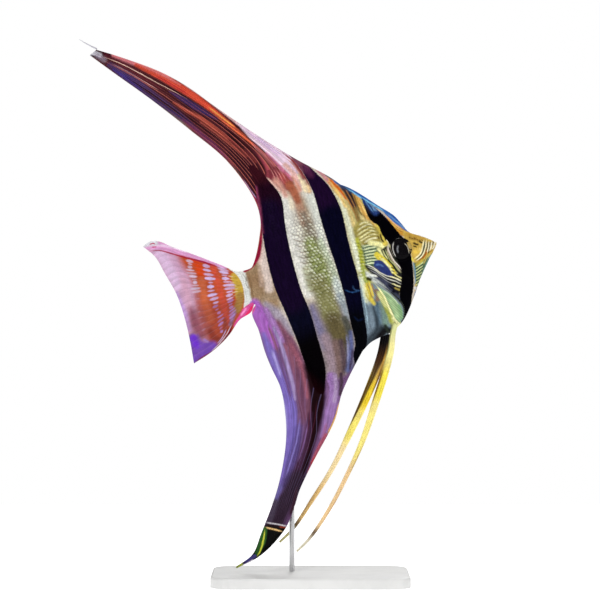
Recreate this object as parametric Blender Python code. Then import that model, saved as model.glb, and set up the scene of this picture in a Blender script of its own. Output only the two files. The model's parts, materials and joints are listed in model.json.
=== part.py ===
"""A long-finned freshwater angelfish, life size, swimming nose up on a plain display stand.

The fish is drawn in its own frame, in millimetres: x runs forward from the root of the tail fin to
the lips, z runs up, and y runs to the fish's left. place() then tips it nose up over the stand and
turns it into metres. The body is one lofted lens, parted into its named pieces by thin gaps, and each
fin is a thin sheet stretched over its four edges and trimmed to the body.
"""

import math

import bmesh
import bpy
import numpy as np
from mathutils import Matrix, Vector

# ---------------------------------------------------------------- driving sizes, in millimetres
MM = 0.001
NOSE_UP = math.radians(13.1)
TAIL_ROOT_X, TAIL_ROOT_Z = -5.76, 167.5  # where the fish frame's origin stands in the model
GAP = 0.3  # left between neighbouring solids
RIM = 0.5  # half the body's thickness along its back and belly edges, and half a fin's at its base
FIN_EDGE = 0.28  # half a fin's thickness at its free edge
FIN_INSET = 1.6  # how far inside the body the dorsal and anal fins' roots begin
DORSAL_WAVE, DORSAL_LEAN = 1.0, 3.0  # how far the fin waves and leans to the left
ANAL_WAVE, ANAL_LEAN = -1.2, -2.5
TAIL_WAVE, TAIL_BASE = 1.1, 1.2  # TAIL_BASE is half the tail fin's thickness at its root
FILAMENT_Y, FILAMENT_BASE, FILAMENT_TIP = 3.2, 0.5, 0.3  # the last two are half widths
FEELER_EDGE = 0.26  # half a feeler's thickness at its thinnest
PECTORAL_BASE = 0.55  # half a pectoral fin's thickness at its root
EYE = (89.5, 4.7, 1.3)  # centre of the left eye
EYE_RADII = (6.1, 3.9, 6.1)
EYE_SEGMENTS, EYE_RINGS = 18, 12
GILL_COVER_DEPTH = 6.0  # how far from the middle plane the gill covers begin
BEYOND_SIDE, BEYOND = 30, 60  # clear of the body to the sides, and above and below it

BASE_LENGTH, BASE_DEPTH, BASE_HEIGHT, BASE_CORNER, BASE_BEVEL = 112.0, 80.0, 6.0, 14.0, 1.2
BASE_X = 30.0
ROD_RADIUS, ROD_X, ROD_Y, ROD_TOP, ROD_SIDES = 1.5, 19.5, 3.6, 166.0, 16

# Outlines of the body, from the tail root to the lips.
BACK = [(0, 9.6), (5.8, 11.2), (13.8, 25.5), (17, 38), (23, 49), (36, 52.5), (52, 50.5), (67.5, 43.2),
        (84, 27.4), (90.3, 21), (93.5, 15.5), (96.6, 9.9), (103.5, 5.8), (110.3, 0.9)]
BELLY = [(0, -9.5), (5.5, -14.2), (16, -33), (25, -51), (33, -58.5), (41.5, -59.5), (56.5, -49.7),
         (61, -46.8), (66, -45.3), (74, -43.6), (82, -38.7), (91.3, -26.6), (96.4, -18.4),
         (102.9, -9.8), (106.8, -5.1), (109.5, -2.3)]
# Half the body's width against the share of the way from the tail root to the lips.
GIRTH = [(0, 1.5), (0.06, 2.4), (0.15, 4.1), (0.3, 6.9), (0.45, 8.9), (0.58, 9.8), (0.7, 9.3),
         (0.8, 7.8), (0.88, 6.1), (0.95, 4.0), (1, 2.1)]
# How round a section is towards the back and the belly: 1 is a sharp lens, 0.5 an ellipse.
BACK_SHARPNESS = [(0, 0.6), (0.2, 0.95), (0.6, 0.95), (0.8, 0.75), (1, 0.5)]
BELLY_SHARPNESS = [(0, 0.6), (0.2, 0.95), (0.45, 0.9), (0.6, 0.6), (1, 0.5)]
BODY_RINGS, BODY_LEVELS = 42, 12

# Where the head ends behind the gills, top to bottom, and where the tail stem ends.
NECK = [(76, BEYOND), (73.5, 25), (71, 12), (67.8, -1), (66.5, -14), (69, -30.5), (73.5, -44), (77, -BEYOND)]
STEM_FRONT = 12.0
# The mouth runs back and down from the lips; the jaws end above and below its corner.
MOUTH_TIP, MOUTH_CORNER = (113, 1.0), (104.8, -4.4)
CHIN_BACK = (99, -16)
GILL_COVER = [(80, 13), (73, 9), (69.8, -1), (70, -12), (75, -21), (83, -27), (85.5, -17), (82.5, -7),
              (81.5, 3), (82, 10)]

# Fin edges. Leading and trailing edges run from the body to the fin's tip.
DORSAL_LEAD = [(69, 42.4), (60, 52.1), (44.9, 64.7), (25.9, 82.9), (4.6, 105.7), (-6.8, 118.5),
               (-20.7, 130.7), (-42, 144.5), (-53, 150.8)]
DORSAL_TRAIL = [(1.6, 10.6), (4.4, 12.3), (7.8, 17), (12.6, 27.3), (15.6, 37), (15, 49), (4.9, 73.2),
                (-11.5, 94.8), (-29.2, 116.5), (-46.3, 135.8), (-57.4, 148.6)]
DORSAL_FILAMENT = [(-52.6, 151.2), (-56.6, 154.4), (-61.2, 158.8)]
ANAL_LEAD = [(61, -48), (53.7, -55.4), (39.8, -71.9), (31.9, -86), (17.9, -101.8), (11.8, -108.6),
             (3, -119.5), (-1.2, -126.5), (-5, -132.4), (-9.4, -138), (-18.9, -145.4), (-29, -150.6),
             (-42, -153.7)]
ANAL_TRAIL = [(2.8, -10.4), (-1, -15), (0.4, -26), (1.2, -39), (2.6, -47.5), (5.2, -60), (4.8, -72.5),
              (1.6, -89.5), (-8.5, -113.7), (-24.2, -138), (-31.4, -148), (-42.2, -152.8)]
TAIL_UPPER = [(0.5, 10.3), (-4.3, 10.4), (-14, 17), (-27.7, 26.3), (-36, 31.6), (-43.4, 36.8), (-48, 37.6),
              (-52.4, 35.8)]
TAIL_LOWER = [(0.5, -10.2), (-3, -15.2), (-9, -18), (-16, -24.2), (-22.3, -28.4), (-29, -31.7),
              (-39.3, -35.3)]
TAIL_ROOT = [(2, 9.6), (2.5, 0), (2, -9.6)]
TAIL_END = [(-52.4, 35.8), (-47, 28.5), (-43.8, 18), (-40, 5), (-38.5, -10), (-38.6, -24), (-39.3, -35.3)]
# The feelers hang from the chest, each with a centre line and a half width along it.
FEELERS = {
    "right": [(73, -4.0, -43.5), (69.8, -5.2, -53.2), (65.5, -6.0, -62.4), (55.2, -7.2, -80.9),
              (44.2, -8.0, -98.6), (31.3, -8.4, -115.6), (17.7, -8.6, -131.5), (2.4, -8.8, -145.9),
              (-6.5, -8.8, -151.6)],
    "left": [(70.5, 4.0, -43.5), (66.4, 5.2, -53.4), (61.5, 6.2, -62), (49.5, 7.2, -79.1),
             (36.8, 8.0, -95.5), (23.5, 8.4, -111.6), (8.8, 8.6, -126.1), (-6.3, 8.8, -140.2),
             (-15.2, 8.8, -145.7)],
}
FEELER_HALF_WIDTH = [(0, 2.8), (0.15, 2.8), (0.3, 2.5), (0.45, 1.95), (0.6, 1.45), (0.85, 1.1), (1, 0.6)]
FEELER_HALF_THICKNESS = [(0, 1.0), (0.3, 0.8), (1, 0.32)]
# The right pectoral fin: its root on the flank, and its edges, which stand out from the body.
PECTORAL_UPPER = [(66.5, -8.4, -8.5), (72.5, -11.6, -14.5), (78, -12.8, -20.5), (83, -13.4, -27.5)]
PECTORAL_LOWER = [(65.2, -8.4, -13.5), (67.8, -11.2, -22), (73, -12.4, -29.5), (79, -12.8, -39)]
PECTORAL_END = [(83, -13.4, -27.5), (84.3, -13.6, -32), (82.7, -13.4, -37), (79, -12.8, -39)]


# ---------------------------------------------------------------- curves
def smooth(points, count, per_span=24):
    """count points, evenly spaced along a smooth curve through the given ones."""
    p = np.asarray(points, float)
    t = np.concatenate([[0], np.cumsum(np.linalg.norm(np.diff(p, axis=0), axis=1) ** 0.5)])
    step = np.diff(p, axis=0) / np.diff(t)[:, None]
    weight = (np.diff(t)[1:] / (t[2:] - t[:-2]))[:, None]
    slope = np.vstack([step[:1], step[:-1] * weight + step[1:] * (1 - weight), step[-1:]])
    dense = [p[:1]]
    for i in range(len(p) - 1):
        h = t[i + 1] - t[i]
        s = (np.arange(1, per_span + 1) / per_span)[:, None]
        dense.append((1 + 2 * s) * (1 - s) ** 2 * p[i] + s * (1 - s) ** 2 * h * slope[i]
                     + s**2 * (3 - 2 * s) * p[i + 1] + s**2 * (s - 1) * h * slope[i + 1])
    dense = np.vstack(dense)
    along = np.concatenate([[0], np.cumsum(np.linalg.norm(np.diff(dense, axis=0), axis=1))])
    at = np.linspace(0, along[-1], count)
    return np.stack([np.interp(at, along, dense[:, k]) for k in range(dense.shape[1])], axis=1)


def lookup(pairs, at):
    """The value of a smooth curve through (place, value) pairs."""
    curve = smooth(pairs, 200)
    return np.interp(at, curve[:, 0], curve[:, 1])


def offset(outline, by):
    """A flat open outline moved sideways, to the left of its direction, by a distance."""
    along = np.gradient(outline, axis=0)
    along /= np.linalg.norm(along, axis=1)[:, None]
    return outline + by * np.stack([-along[:, 1], along[:, 0]], axis=1)


def grown(polygon, by):
    """A closed anticlockwise polygon moved outwards by a distance."""
    ahead, behind = np.roll(polygon, -1, axis=0) - polygon, polygon - np.roll(polygon, 1, axis=0)
    normals = [np.stack([d[:, 1], -d[:, 0]], axis=1) / np.linalg.norm(d, axis=1)[:, None]
               for d in (ahead, behind)]
    corner = normals[0] + normals[1]
    return polygon + by * corner * (2 / np.sum(corner**2, axis=1))[:, None]


# ---------------------------------------------------------------- meshes
def place(points):
    """Fish-frame millimetres as model metres."""
    p = np.asarray(points, float)
    x = p[:, 0] * math.cos(NOSE_UP) - p[:, 2] * math.sin(NOSE_UP) + TAIL_ROOT_X
    z = p[:, 0] * math.sin(NOSE_UP) + p[:, 2] * math.cos(NOSE_UP) + TAIL_ROOT_Z
    return np.stack([x, p[:, 1], z], axis=1) * MM


def material(name, colour, roughness, metallic=0.0):
    made = bpy.data.materials.get(name) or bpy.data.materials.new(name)
    made.use_nodes = True
    shader = made.node_tree.nodes["Principled BSDF"]
    shader.inputs["Base Color"].default_value = (*colour, 1)
    shader.inputs["Roughness"].default_value = roughness
    shader.inputs["Metallic"].default_value = metallic
    return made


def add_object(name, points, faces, finish=None):
    """A closed mesh object, with its faces turned outwards and quads left whole."""
    mesh = bpy.data.meshes.new(name)
    mesh.from_pydata([Vector(p) for p in points], [], faces)
    work = bmesh.new()
    work.from_mesh(mesh)
    bmesh.ops.recalc_face_normals(work, faces=work.faces)
    work.to_mesh(mesh)
    work.free()
    if finish:
        mesh.materials.append(finish)
    made = bpy.data.objects.new(name, mesh)
    bpy.context.scene.collection.objects.link(made)
    return made


def as_cutter(made):
    made.hide_render = True
    made.display_type = "WIRE"
    return made


def boolean(target, other, operation):
    """Applies a Boolean to the target's mesh at once."""
    modifier = target.modifiers.new(operation.lower(), "BOOLEAN")
    modifier.object = other
    modifier.operation = operation
    modifier.solver = "EXACT"
    evaluated = target.evaluated_get(bpy.context.evaluated_depsgraph_get())
    mesh = bpy.data.meshes.new_from_object(evaluated)
    target.modifiers.clear()
    target.data = mesh
    return target


def ring_faces(rings, around):
    """Side quads and two end caps over rings of points."""
    faces = [tuple(range(around))[::-1], tuple(range((rings - 1) * around, rings * around))]
    for i in range(rings - 1):
        for j in range(around):
            k = (j + 1) % around
            faces.append((i * around + j, i * around + k, (i + 1) * around + k, (i + 1) * around + j))
    return faces


def prism(name, polygon, y_low, y_high):
    """A helper solid: a flat fish-frame polygon stretched from side to side."""
    count = len(polygon)
    points = np.vstack([np.column_stack([polygon[:, 0], np.full(count, y), polygon[:, 1]])
                        for y in (y_low, y_high)])
    return as_cutter(add_object(name, place(points), ring_faces(2, count)))


# ---------------------------------------------------------------- the body
def body(name, grow=0.0, finish=None):
    """The whole body from tail root to lips, or one a little larger all round."""
    u = np.linspace(0, 1, BODY_RINGS)
    back = offset(smooth(BACK, BODY_RINGS), grow)
    belly = offset(smooth(BELLY, BODY_RINGS), -grow)
    back[[0, -1], 0] += [-grow, grow]
    belly[[0, -1], 0] += [-grow, grow]
    level = np.sin(np.linspace(-1, 1, BODY_LEVELS) * math.pi / 2)
    lens = np.cos(level * math.pi / 2).clip(0)
    points = []
    for i in range(BODY_RINGS):
        sharpness = np.where(level > 0, lookup(BACK_SHARPNESS, u[i]), lookup(BELLY_SHARPNESS, u[i]))
        y = RIM + grow + (lookup(GIRTH, u[i]) - RIM) * lens**sharpness
        x, z = (belly[i] + (back[i] - belly[i]) * (level[:, None] + 1) / 2).T
        points.append(np.column_stack([np.r_[x, x[::-1]], np.r_[y, -y[::-1]], np.r_[z, z[::-1]]]))
    return add_object(name, place(np.vstack(points)), ring_faces(BODY_RINGS, 2 * BODY_LEVELS), finish)


def cell(name, polygon):
    """A helper prism right through the body, half a gap inside its polygon."""
    return prism(name, grown(np.asarray(polygon, float), -GAP / 2), -BEYOND_SIDE, BEYOND_SIDE)


def body_pieces(skin):
    """Head, jaws, gill covers, trunk and tail stem, cut from the body."""
    neck = smooth(NECK, 14)
    behind, over_mouth = -5, 20
    cells = {
        "head": [*neck, (CHIN_BACK[0], -BEYOND), CHIN_BACK, MOUTH_CORNER, (MOUTH_CORNER[0], BEYOND)],
        "trunk": [(STEM_FRONT, BEYOND), (STEM_FRONT, -BEYOND), (NECK[-1][0], -BEYOND - 10), *neck[::-1]],
        "tail_stem": [(behind, BEYOND), (behind, -BEYOND), (STEM_FRONT, -BEYOND), (STEM_FRONT, BEYOND)],
        "upper_jaw": [(MOUTH_CORNER[0], over_mouth), MOUTH_CORNER, MOUTH_TIP, (MOUTH_TIP[0], over_mouth)],
        "lower_jaw": [MOUTH_CORNER, CHIN_BACK, (MOUTH_TIP[0], CHIN_BACK[1]), MOUTH_TIP],
    }
    made = {}
    for name, polygon in cells.items():
        made[name] = boolean(body(name, finish=skin), cell(name + "_cell", polygon), "INTERSECT")
    outline = smooth(GILL_COVER + GILL_COVER[:1], 23)[:-1]
    for side, sign in (("left", 1), ("right", -1)):
        name = "gill_cover_" + side
        low, plug_low, high = sign * GILL_COVER_DEPTH, sign * (GILL_COVER_DEPTH + GAP), sign * BEYOND_SIDE
        plug = prism(name + "_cell", grown(outline, -GAP / 2), plug_low, high)
        socket = prism(name + "_socket", grown(outline, GAP / 2), low, high)
        boolean(body(name, finish=skin), plug, "INTERSECT")
        boolean(made["head"], socket, "DIFFERENCE")
    return made


def ellipsoid(name, centre, radii, finish=None):
    work = bmesh.new()
    bmesh.ops.create_uvsphere(work, u_segments=EYE_SEGMENTS, v_segments=EYE_RINGS, radius=1)
    facing = Matrix.Rotation(math.pi / 2, 3, "X")  # the poles point to the sides
    points = np.array([facing @ v.co for v in work.verts]) * radii + centre
    faces = [[v.index for v in f.verts] for f in work.faces]
    work.free()
    return add_object(name, place(points), faces, finish)


def eyes(head, finish):
    for side, sign in (("left", 1), ("right", -1)):
        centre = (EYE[0], sign * EYE[1], EYE[2])
        socket = ellipsoid("socket_" + side, centre, np.add(EYE_RADII, GAP))
        boolean(head, as_cutter(socket), "DIFFERENCE")
        ellipsoid("eye_" + side, centre, EYE_RADII, finish)


# ---------------------------------------------------------------- fins
def patch(lead, trail, root, end, along, across):
    """A grid of points over four edges: lead and trail run out from the body, root and end cross them.
    The root's bulge dies out towards the end, and the end's towards the root."""
    lead, trail = smooth(lead, along), smooth(trail, along)
    root, end = smooth(root, across), smooth(end, across)
    a, b = np.linspace(0, 1, across)[None, :, None], np.linspace(0, 1, along)[:, None, None]
    ruled = lead[:, None] * (1 - a) + trail[:, None] * a
    return ruled + (1 - b) ** 1.5 * (root - ruled[0])[None] + b**1.5 * (end - ruled[-1])[None]


def sheet(name, grid, half_thickness, finish):
    """A thin solid over a grid of points in the fish frame, thickened to both sides in y."""
    rows, columns = grid.shape[:2]
    side = np.stack([np.zeros_like(half_thickness), half_thickness, np.zeros_like(half_thickness)], axis=2)
    points = np.vstack([(grid - side).reshape(-1, 3), (grid + side).reshape(-1, 3)])
    index = np.arange(rows * columns).reshape(rows, columns)
    under = rows * columns
    faces = []
    for i in range(rows - 1):
        for j in range(columns - 1):
            quad = (index[i, j], index[i, j + 1], index[i + 1, j + 1], index[i + 1, j])
            faces += [quad, tuple(k + under for k in quad[::-1])]
    edge = [*index[0, :-1], *index[:-1, -1], *index[-1, :0:-1], *index[:0:-1, 0]]
    for k, m in zip(edge, edge[1:] + edge[:1]):
        faces.append((k, m, m + under, k + under))
    return add_object(name, place(points), [tuple(int(k) for k in f) for f in faces], finish)


def flat(points):
    """Fish-frame (x, z) points as (x, 0, z)."""
    p = np.asarray(points, float)
    return np.column_stack([p[:, 0], np.zeros(len(p)), p[:, 1]])


def root_between(outline, first, last, inwards, count=12):
    """Points along the back or belly from near one place to near another, moved into the body."""
    dense = smooth(outline, 201)
    ends = [np.argmin(np.linalg.norm(dense - place, axis=1)) for place in (first, last)]
    return flat(offset(dense, inwards)[np.linspace(*ends, count).round().astype(int)])


def median_fins(trimmer, finish):
    """The dorsal and anal fins, each a sail on the body and the streamer beyond it, and the tail fin.
    They lean and wave a little to the sides, as fins do in water."""
    rows, columns, split = 20, 12, 9
    fins = {
        "dorsal_fin": (DORSAL_LEAD, DORSAL_TRAIL, BACK, -FIN_INSET, DORSAL_WAVE, DORSAL_LEAN),
        "anal_fin": (ANAL_LEAD, ANAL_TRAIL, BELLY, FIN_INSET, ANAL_WAVE, ANAL_LEAN),
    }
    for name, (lead, trail, outline, inwards, wave, lean) in fins.items():
        root = root_between(outline, lead[0], trail[0], inwards)
        end = flat([lead[-1], trail[-1]])
        grid = patch(flat(lead), flat(trail), root, end, rows, columns)
        out, across = np.meshgrid(np.linspace(0, 1, rows), np.linspace(0, 1, columns), indexing="ij")
        grid[:, :, 1] += lean * out**2 + wave * np.sin(across * 5 + out * 4) * out * (1 - out) * 2
        half = RIM + (FIN_EDGE - RIM) * np.maximum(out, across**3)
        sail = sheet(name, grid[:split + 1], half[:split + 1], finish)
        boolean(sail, trimmer, "DIFFERENCE")
        beyond = grid[split:].copy()
        step = grid[split + 1] - grid[split]
        beyond[0] += step * (GAP / np.linalg.norm(step, axis=1))[:, None]
        sheet(name.replace("fin", "streamer"), beyond, half[split:], finish)
    line = smooth(DORSAL_FILAMENT, 6)
    width = np.linspace(FILAMENT_BASE, FILAMENT_TIP, 6)[:, None]
    along = (line[-1] - line[0]) / np.linalg.norm(line[-1] - line[0])
    rise = width * (-along[1], along[0])
    grid = np.stack([flat(line - rise), flat(line + rise)], axis=1)
    grid[:, :, 1] += FILAMENT_Y
    sheet("dorsal_filament", grid, np.repeat(width, 2, axis=1), finish)

    rows, columns = 9, 13
    grid = patch(flat(TAIL_UPPER), flat(TAIL_LOWER), flat(TAIL_ROOT), flat(TAIL_END), rows, columns)
    out, across = np.meshgrid(np.linspace(0, 1, rows), np.linspace(0, 1, columns), indexing="ij")
    grid[:, :, 1] += TAIL_WAVE * np.sin(across * 7) * out**1.5
    tail = sheet("tail_fin", grid, TAIL_BASE + (FIN_EDGE - TAIL_BASE) * out**0.6, finish)
    boolean(tail, trimmer, "DIFFERENCE")


def feelers(trimmer, finish):
    """The long pelvic fins."""
    rows, columns = 24, 4
    share = np.linspace(0, 1, rows)
    for side, line in FEELERS.items():
        centre = smooth(line, rows)
        along = np.gradient(centre, axis=0)
        along /= np.linalg.norm(along, axis=1)[:, None]
        ahead = np.column_stack([-along[:, 2], np.zeros(rows), along[:, 0]])
        width = lookup(FEELER_HALF_WIDTH, share)[:, None, None]
        grid = centre[:, None] + ahead[:, None] * width * np.linspace(-1, 1, columns)[None, :, None]
        shape = np.array([0.3, 1, 1, 0.3])[None]
        half = np.maximum(lookup(FEELER_HALF_THICKNESS, share)[:, None] * shape, FEELER_EDGE)
        boolean(sheet("pelvic_fin_" + side, grid, half, finish), trimmer, "DIFFERENCE")


def pectoral_fins(trimmer, finish):
    rows, columns = 8, 8
    for side, sign in (("right", 1), ("left", -1)):
        mirror = np.array([1, sign, 1])
        upper, lower, end = (np.array(edge) * mirror
                             for edge in (PECTORAL_UPPER, PECTORAL_LOWER, PECTORAL_END))
        grid = patch(upper, lower, [upper[0], lower[0]], end, rows, columns)
        half = np.repeat(np.linspace(PECTORAL_BASE, FIN_EDGE, rows)[:, None], columns, axis=1)
        boolean(sheet("pectoral_fin_" + side, grid, half, finish), trimmer, "DIFFERENCE")


# ---------------------------------------------------------------- the stand
def stand(base_finish, rod_finish, trunk):
    """A flat rounded base, and a rod that rises beside the anal fin into a socket in the trunk."""
    work = bmesh.new()
    bmesh.ops.create_cube(work, size=1)
    bmesh.ops.scale(work, verts=work.verts, vec=Vector((BASE_LENGTH, BASE_DEPTH, BASE_HEIGHT)) * MM)
    upright = [e for e in work.edges if abs(e.verts[0].co.z - e.verts[1].co.z) > BASE_HEIGHT / 2 * MM]
    bmesh.ops.bevel(work, geom=upright, offset=BASE_CORNER * MM, segments=6, affect="EDGES", profile=0.5)
    top = [e for e in work.edges if all(v.co.z > 0 for v in e.verts)]
    bmesh.ops.bevel(work, geom=top, offset=BASE_BEVEL * MM, segments=2, affect="EDGES", profile=0.5)
    bmesh.ops.translate(work, verts=work.verts, vec=Vector((BASE_X, 0, BASE_HEIGHT / 2)) * MM)
    mesh = bpy.data.meshes.new("stand_base")
    work.to_mesh(mesh)
    work.free()
    mesh.materials.append(base_finish)
    bpy.context.scene.collection.objects.link(bpy.data.objects.new("stand_base", mesh))

    def upright_cylinder(name, radius, low, high, finish=None):
        turn = np.linspace(0, 2 * math.pi, ROD_SIDES + 1)[:-1]
        ring = np.column_stack([ROD_X + radius * np.cos(turn), ROD_Y + radius * np.sin(turn)])
        points = np.vstack([np.column_stack([ring, np.full(ROD_SIDES, z)]) for z in (low, high)]) * MM
        return add_object(name, points, ring_faces(2, ROD_SIDES), finish)

    upright_cylinder("stand_rod", ROD_RADIUS, BASE_HEIGHT + GAP, ROD_TOP, rod_finish)
    boolean(trunk, as_cutter(upright_cylinder("rod_socket", ROD_RADIUS + GAP, 0, ROD_TOP + GAP)),
            "DIFFERENCE")


def main():
    for old in list(bpy.data.objects):
        bpy.data.objects.remove(old)
    skin = material("fish_skin", (0.55, 0.55, 0.42), 0.4)
    fin = material("fin_membrane", (0.33, 0.16, 0.36), 0.4)
    feeler = material("feeler", (0.85, 0.68, 0.12), 0.4)
    eye = material("eye", (0.01, 0.01, 0.015), 0.08)
    base = material("stand_base", (0.82, 0.82, 0.8), 0.5)
    rod = material("stand_rod", (0.6, 0.6, 0.6), 0.3, 1.0)

    pieces = body_pieces(skin)
    eyes(pieces["head"], eye)
    trimmer = as_cutter(body("trimmer", grow=GAP))
    median_fins(trimmer, fin)
    feelers(trimmer, feeler)
    pectoral_fins(trimmer, fin)
    stand(base, rod, pieces["trunk"])


main()
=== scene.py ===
"""Looks of the freshwater angelfish display model: camera, light, skin, scales, eyes, fins and stand.

As in the part's own script, the fish is drawn in its own frame, in millimetres: x runs forward from
the tail root to the lips, z runs up and y runs to the fish's left. place() turns that into the
model's metres. One skin stands for the seven solids of flesh, and lies inside them by the depth of
the scales. Markings are strokes and fields painted on the fish's side view, and skin, scales and
fins all take them from the same function, on both sides of the fish.
"""

import json
import math

import bpy
import numpy as np
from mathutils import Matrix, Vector
from mathutils.bvhtree import BVHTree

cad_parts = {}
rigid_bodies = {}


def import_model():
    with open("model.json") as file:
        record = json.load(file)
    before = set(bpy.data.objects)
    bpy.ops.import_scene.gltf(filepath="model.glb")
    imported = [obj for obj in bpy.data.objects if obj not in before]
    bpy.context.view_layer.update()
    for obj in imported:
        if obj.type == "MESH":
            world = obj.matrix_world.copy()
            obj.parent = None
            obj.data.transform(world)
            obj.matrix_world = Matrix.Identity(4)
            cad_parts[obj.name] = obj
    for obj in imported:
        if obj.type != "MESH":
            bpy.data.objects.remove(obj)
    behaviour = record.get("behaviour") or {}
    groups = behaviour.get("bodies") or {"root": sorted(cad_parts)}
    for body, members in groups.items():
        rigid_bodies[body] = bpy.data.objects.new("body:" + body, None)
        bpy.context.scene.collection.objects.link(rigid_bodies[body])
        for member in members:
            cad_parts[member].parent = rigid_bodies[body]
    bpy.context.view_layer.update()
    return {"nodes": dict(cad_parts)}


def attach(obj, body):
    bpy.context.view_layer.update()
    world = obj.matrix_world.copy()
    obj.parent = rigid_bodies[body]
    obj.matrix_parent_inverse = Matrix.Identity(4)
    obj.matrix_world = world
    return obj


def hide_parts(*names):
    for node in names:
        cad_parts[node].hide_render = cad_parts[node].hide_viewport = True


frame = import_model()

# ---------------------------------------------------------------- sizes, in millimetres
MM = 0.001
NOSE_UP = math.radians(13.1)
TAIL_ROOT_X, TAIL_ROOT_Z = -5.76, 167.5  # where the fish frame's origin stands in the model
COAT = 0.3  # how deep the skin lies inside the solids
RIM, FIN_EDGE = 0.5, 0.28  # half thicknesses of the body's edge and of a fin's outer edge
FIN_INSET = 1.6  # how far inside the body the fins start
DORSAL_WAVE, DORSAL_LEAN, DORSAL_RAYS = 1.0, 3.0, 16  # how far it waves and leans left, and its rays
ANAL_WAVE, ANAL_LEAN, ANAL_RAYS = -1.2, -2.5, 15
TAIL_WAVE, TAIL_BASE, TAIL_RAYS = 1.1, 1.2, 13  # TAIL_BASE is half the tail fin's thickness at its root
TAIL_FLOOR = 0.13  # half the tail fin's thickness at its thinnest
FILAMENT_Y, FILAMENT_BASE, FILAMENT_TIP = 3.2, 0.5, 0.12  # the last two are half widths
PECTORAL_RAYS, PECTORAL_FLOOR = 11, 0.14  # half its thickness between the rays
FEELER_RAYS, FEELER_FLOOR, FEELER_THICK = 4, 0.2, 0.85  # half thickness at the tip, and added at the root
EYE_CENTRE, EYE_RADIUS = (89.5, 1.3), 6.0
EYE_OUT, EYE_DOME, EYE_DEEP = 6.5, 1.9, 1.6  # how far out the eye's rim is, its height and its depth
EYE_TILT = 0.16  # the head narrows towards the lips, and the eye turns with it

BACK = [(0, 9.6), (5.8, 11.2), (13.8, 25.5), (17, 38), (23, 49), (36, 52.5), (52, 50.5), (67.5, 43.2),
        (84, 27.4), (90.3, 21), (93.5, 15.5), (96.6, 9.9), (103.5, 5.8), (110.3, 0.9)]
BELLY = [(0, -9.5), (5.5, -14.2), (16, -33), (25, -51), (33, -58.5), (41.5, -59.5), (56.5, -49.7),
         (61, -46.8), (66, -45.3), (74, -43.6), (82, -38.7), (91.3, -26.6), (96.4, -18.4),
         (102.9, -9.8), (106.8, -5.1), (109.5, -2.3)]
GIRTH = [(0, 1.5), (0.06, 2.4), (0.15, 4.1), (0.3, 6.9), (0.45, 8.9), (0.58, 9.8), (0.7, 9.3),
         (0.8, 7.8), (0.88, 6.1), (0.95, 4.0), (1, 2.1)]
BACK_SHARPNESS = [(0, 0.6), (0.2, 0.95), (0.6, 0.95), (0.8, 0.75), (1, 0.5)]
BELLY_SHARPNESS = [(0, 0.6), (0.2, 0.95), (0.45, 0.9), (0.6, 0.6), (1, 0.5)]
GILL_COVER = [(80, 13), (73, 9), (69.8, -1), (70, -12), (75, -21), (83, -27), (85.5, -17), (82.5, -7),
              (81.5, 3), (82, 10)]

DORSAL_LEAD = [(69, 42.4), (60, 52.1), (44.9, 64.7), (25.9, 82.9), (4.6, 105.7), (-6.8, 118.5),
               (-20.7, 130.7), (-42, 144.5), (-53, 150.8)]
DORSAL_TRAIL = [(1.6, 10.6), (4.4, 12.3), (7.8, 17), (12.6, 27.3), (15.6, 37), (15, 49), (4.9, 73.2),
                (-11.5, 94.8), (-29.2, 116.5), (-46.3, 135.8), (-57.4, 148.6)]
DORSAL_FILAMENT = [(-52.6, 151.2), (-56.6, 154.4), (-61.2, 158.8)]
ANAL_LEAD = [(61, -48), (53.7, -55.4), (39.8, -71.9), (31.9, -86), (17.9, -101.8), (11.8, -108.6),
             (3, -119.5), (-1.2, -126.5), (-5, -132.4), (-9.4, -138), (-18.9, -145.4), (-29, -150.6),
             (-42, -153.7)]
ANAL_TRAIL = [(2.8, -10.4), (-1, -15), (0.4, -26), (1.2, -39), (2.6, -47.5), (5.2, -60), (4.8, -72.5),
              (1.6, -89.5), (-8.5, -113.7), (-24.2, -138), (-31.4, -148), (-42.2, -152.8)]
TAIL_UPPER = [(0.5, 10.3), (-4.3, 10.4), (-14, 17), (-27.7, 26.3), (-36, 31.6), (-43.4, 36.8),
              (-48, 37.6), (-52.4, 35.8)]
TAIL_LOWER = [(1.2, -11), (-1.8, -15.4), (-9, -18), (-16, -24.2), (-22.3, -28.4), (-29, -31.7),
              (-39.3, -35.3)]
TAIL_END = [(-52.4, 35.8), (-47, 28.5), (-43.8, 18), (-40, 5), (-38.5, -10), (-38.6, -24),
            (-39.3, -35.3)]
FEELERS = {
    "right": [(77, -3.0, -39), (74.2, -4.0, -44.5), (71, -5.2, -53.2), (66.2, -6.0, -62.4),
              (55.2, -7.2, -80.9), (44.2, -8.0, -98.6), (31.3, -8.4, -115.6), (17.7, -8.6, -131.5),
              (2.4, -8.8, -145.9), (-6.5, -8.8, -151.6)],
    "left": [(70.5, 4.0, -43.5), (66.4, 5.2, -53.4), (61.5, 6.2, -62), (49.5, 7.2, -79.1),
             (36.8, 8.0, -95.5), (23.5, 8.4, -111.6), (8.8, 8.6, -126.1), (-6.3, 8.8, -140.2),
             (-15.2, 8.8, -145.7)],
}
FEELER_HALF_WIDTH = {
    "right": [(0, 1.5), (0.08, 1.8), (0.2, 2.1), (0.3, 2.1), (0.45, 1.7), (0.6, 1.3), (0.85, 1.05),
              (1, 0.6)],
    "left": [(0, 2.6), (0.15, 2.8), (0.3, 2.5), (0.45, 1.95), (0.6, 1.45), (0.85, 1.1), (1, 0.6)],
}
TAIL_ROOT = [(2, 9.6), (2.5, 0), (2, -9.6)]
PECTORAL_UPPER = [(66.5, -8.4, -8.5), (72.5, -11.6, -14.5), (78, -12.8, -20.5), (83, -13.4, -27.5)]
PECTORAL_LOWER = [(65.2, -8.4, -13.5), (67.8, -11.2, -22), (73, -12.4, -29.5), (79, -12.8, -39)]
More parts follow.
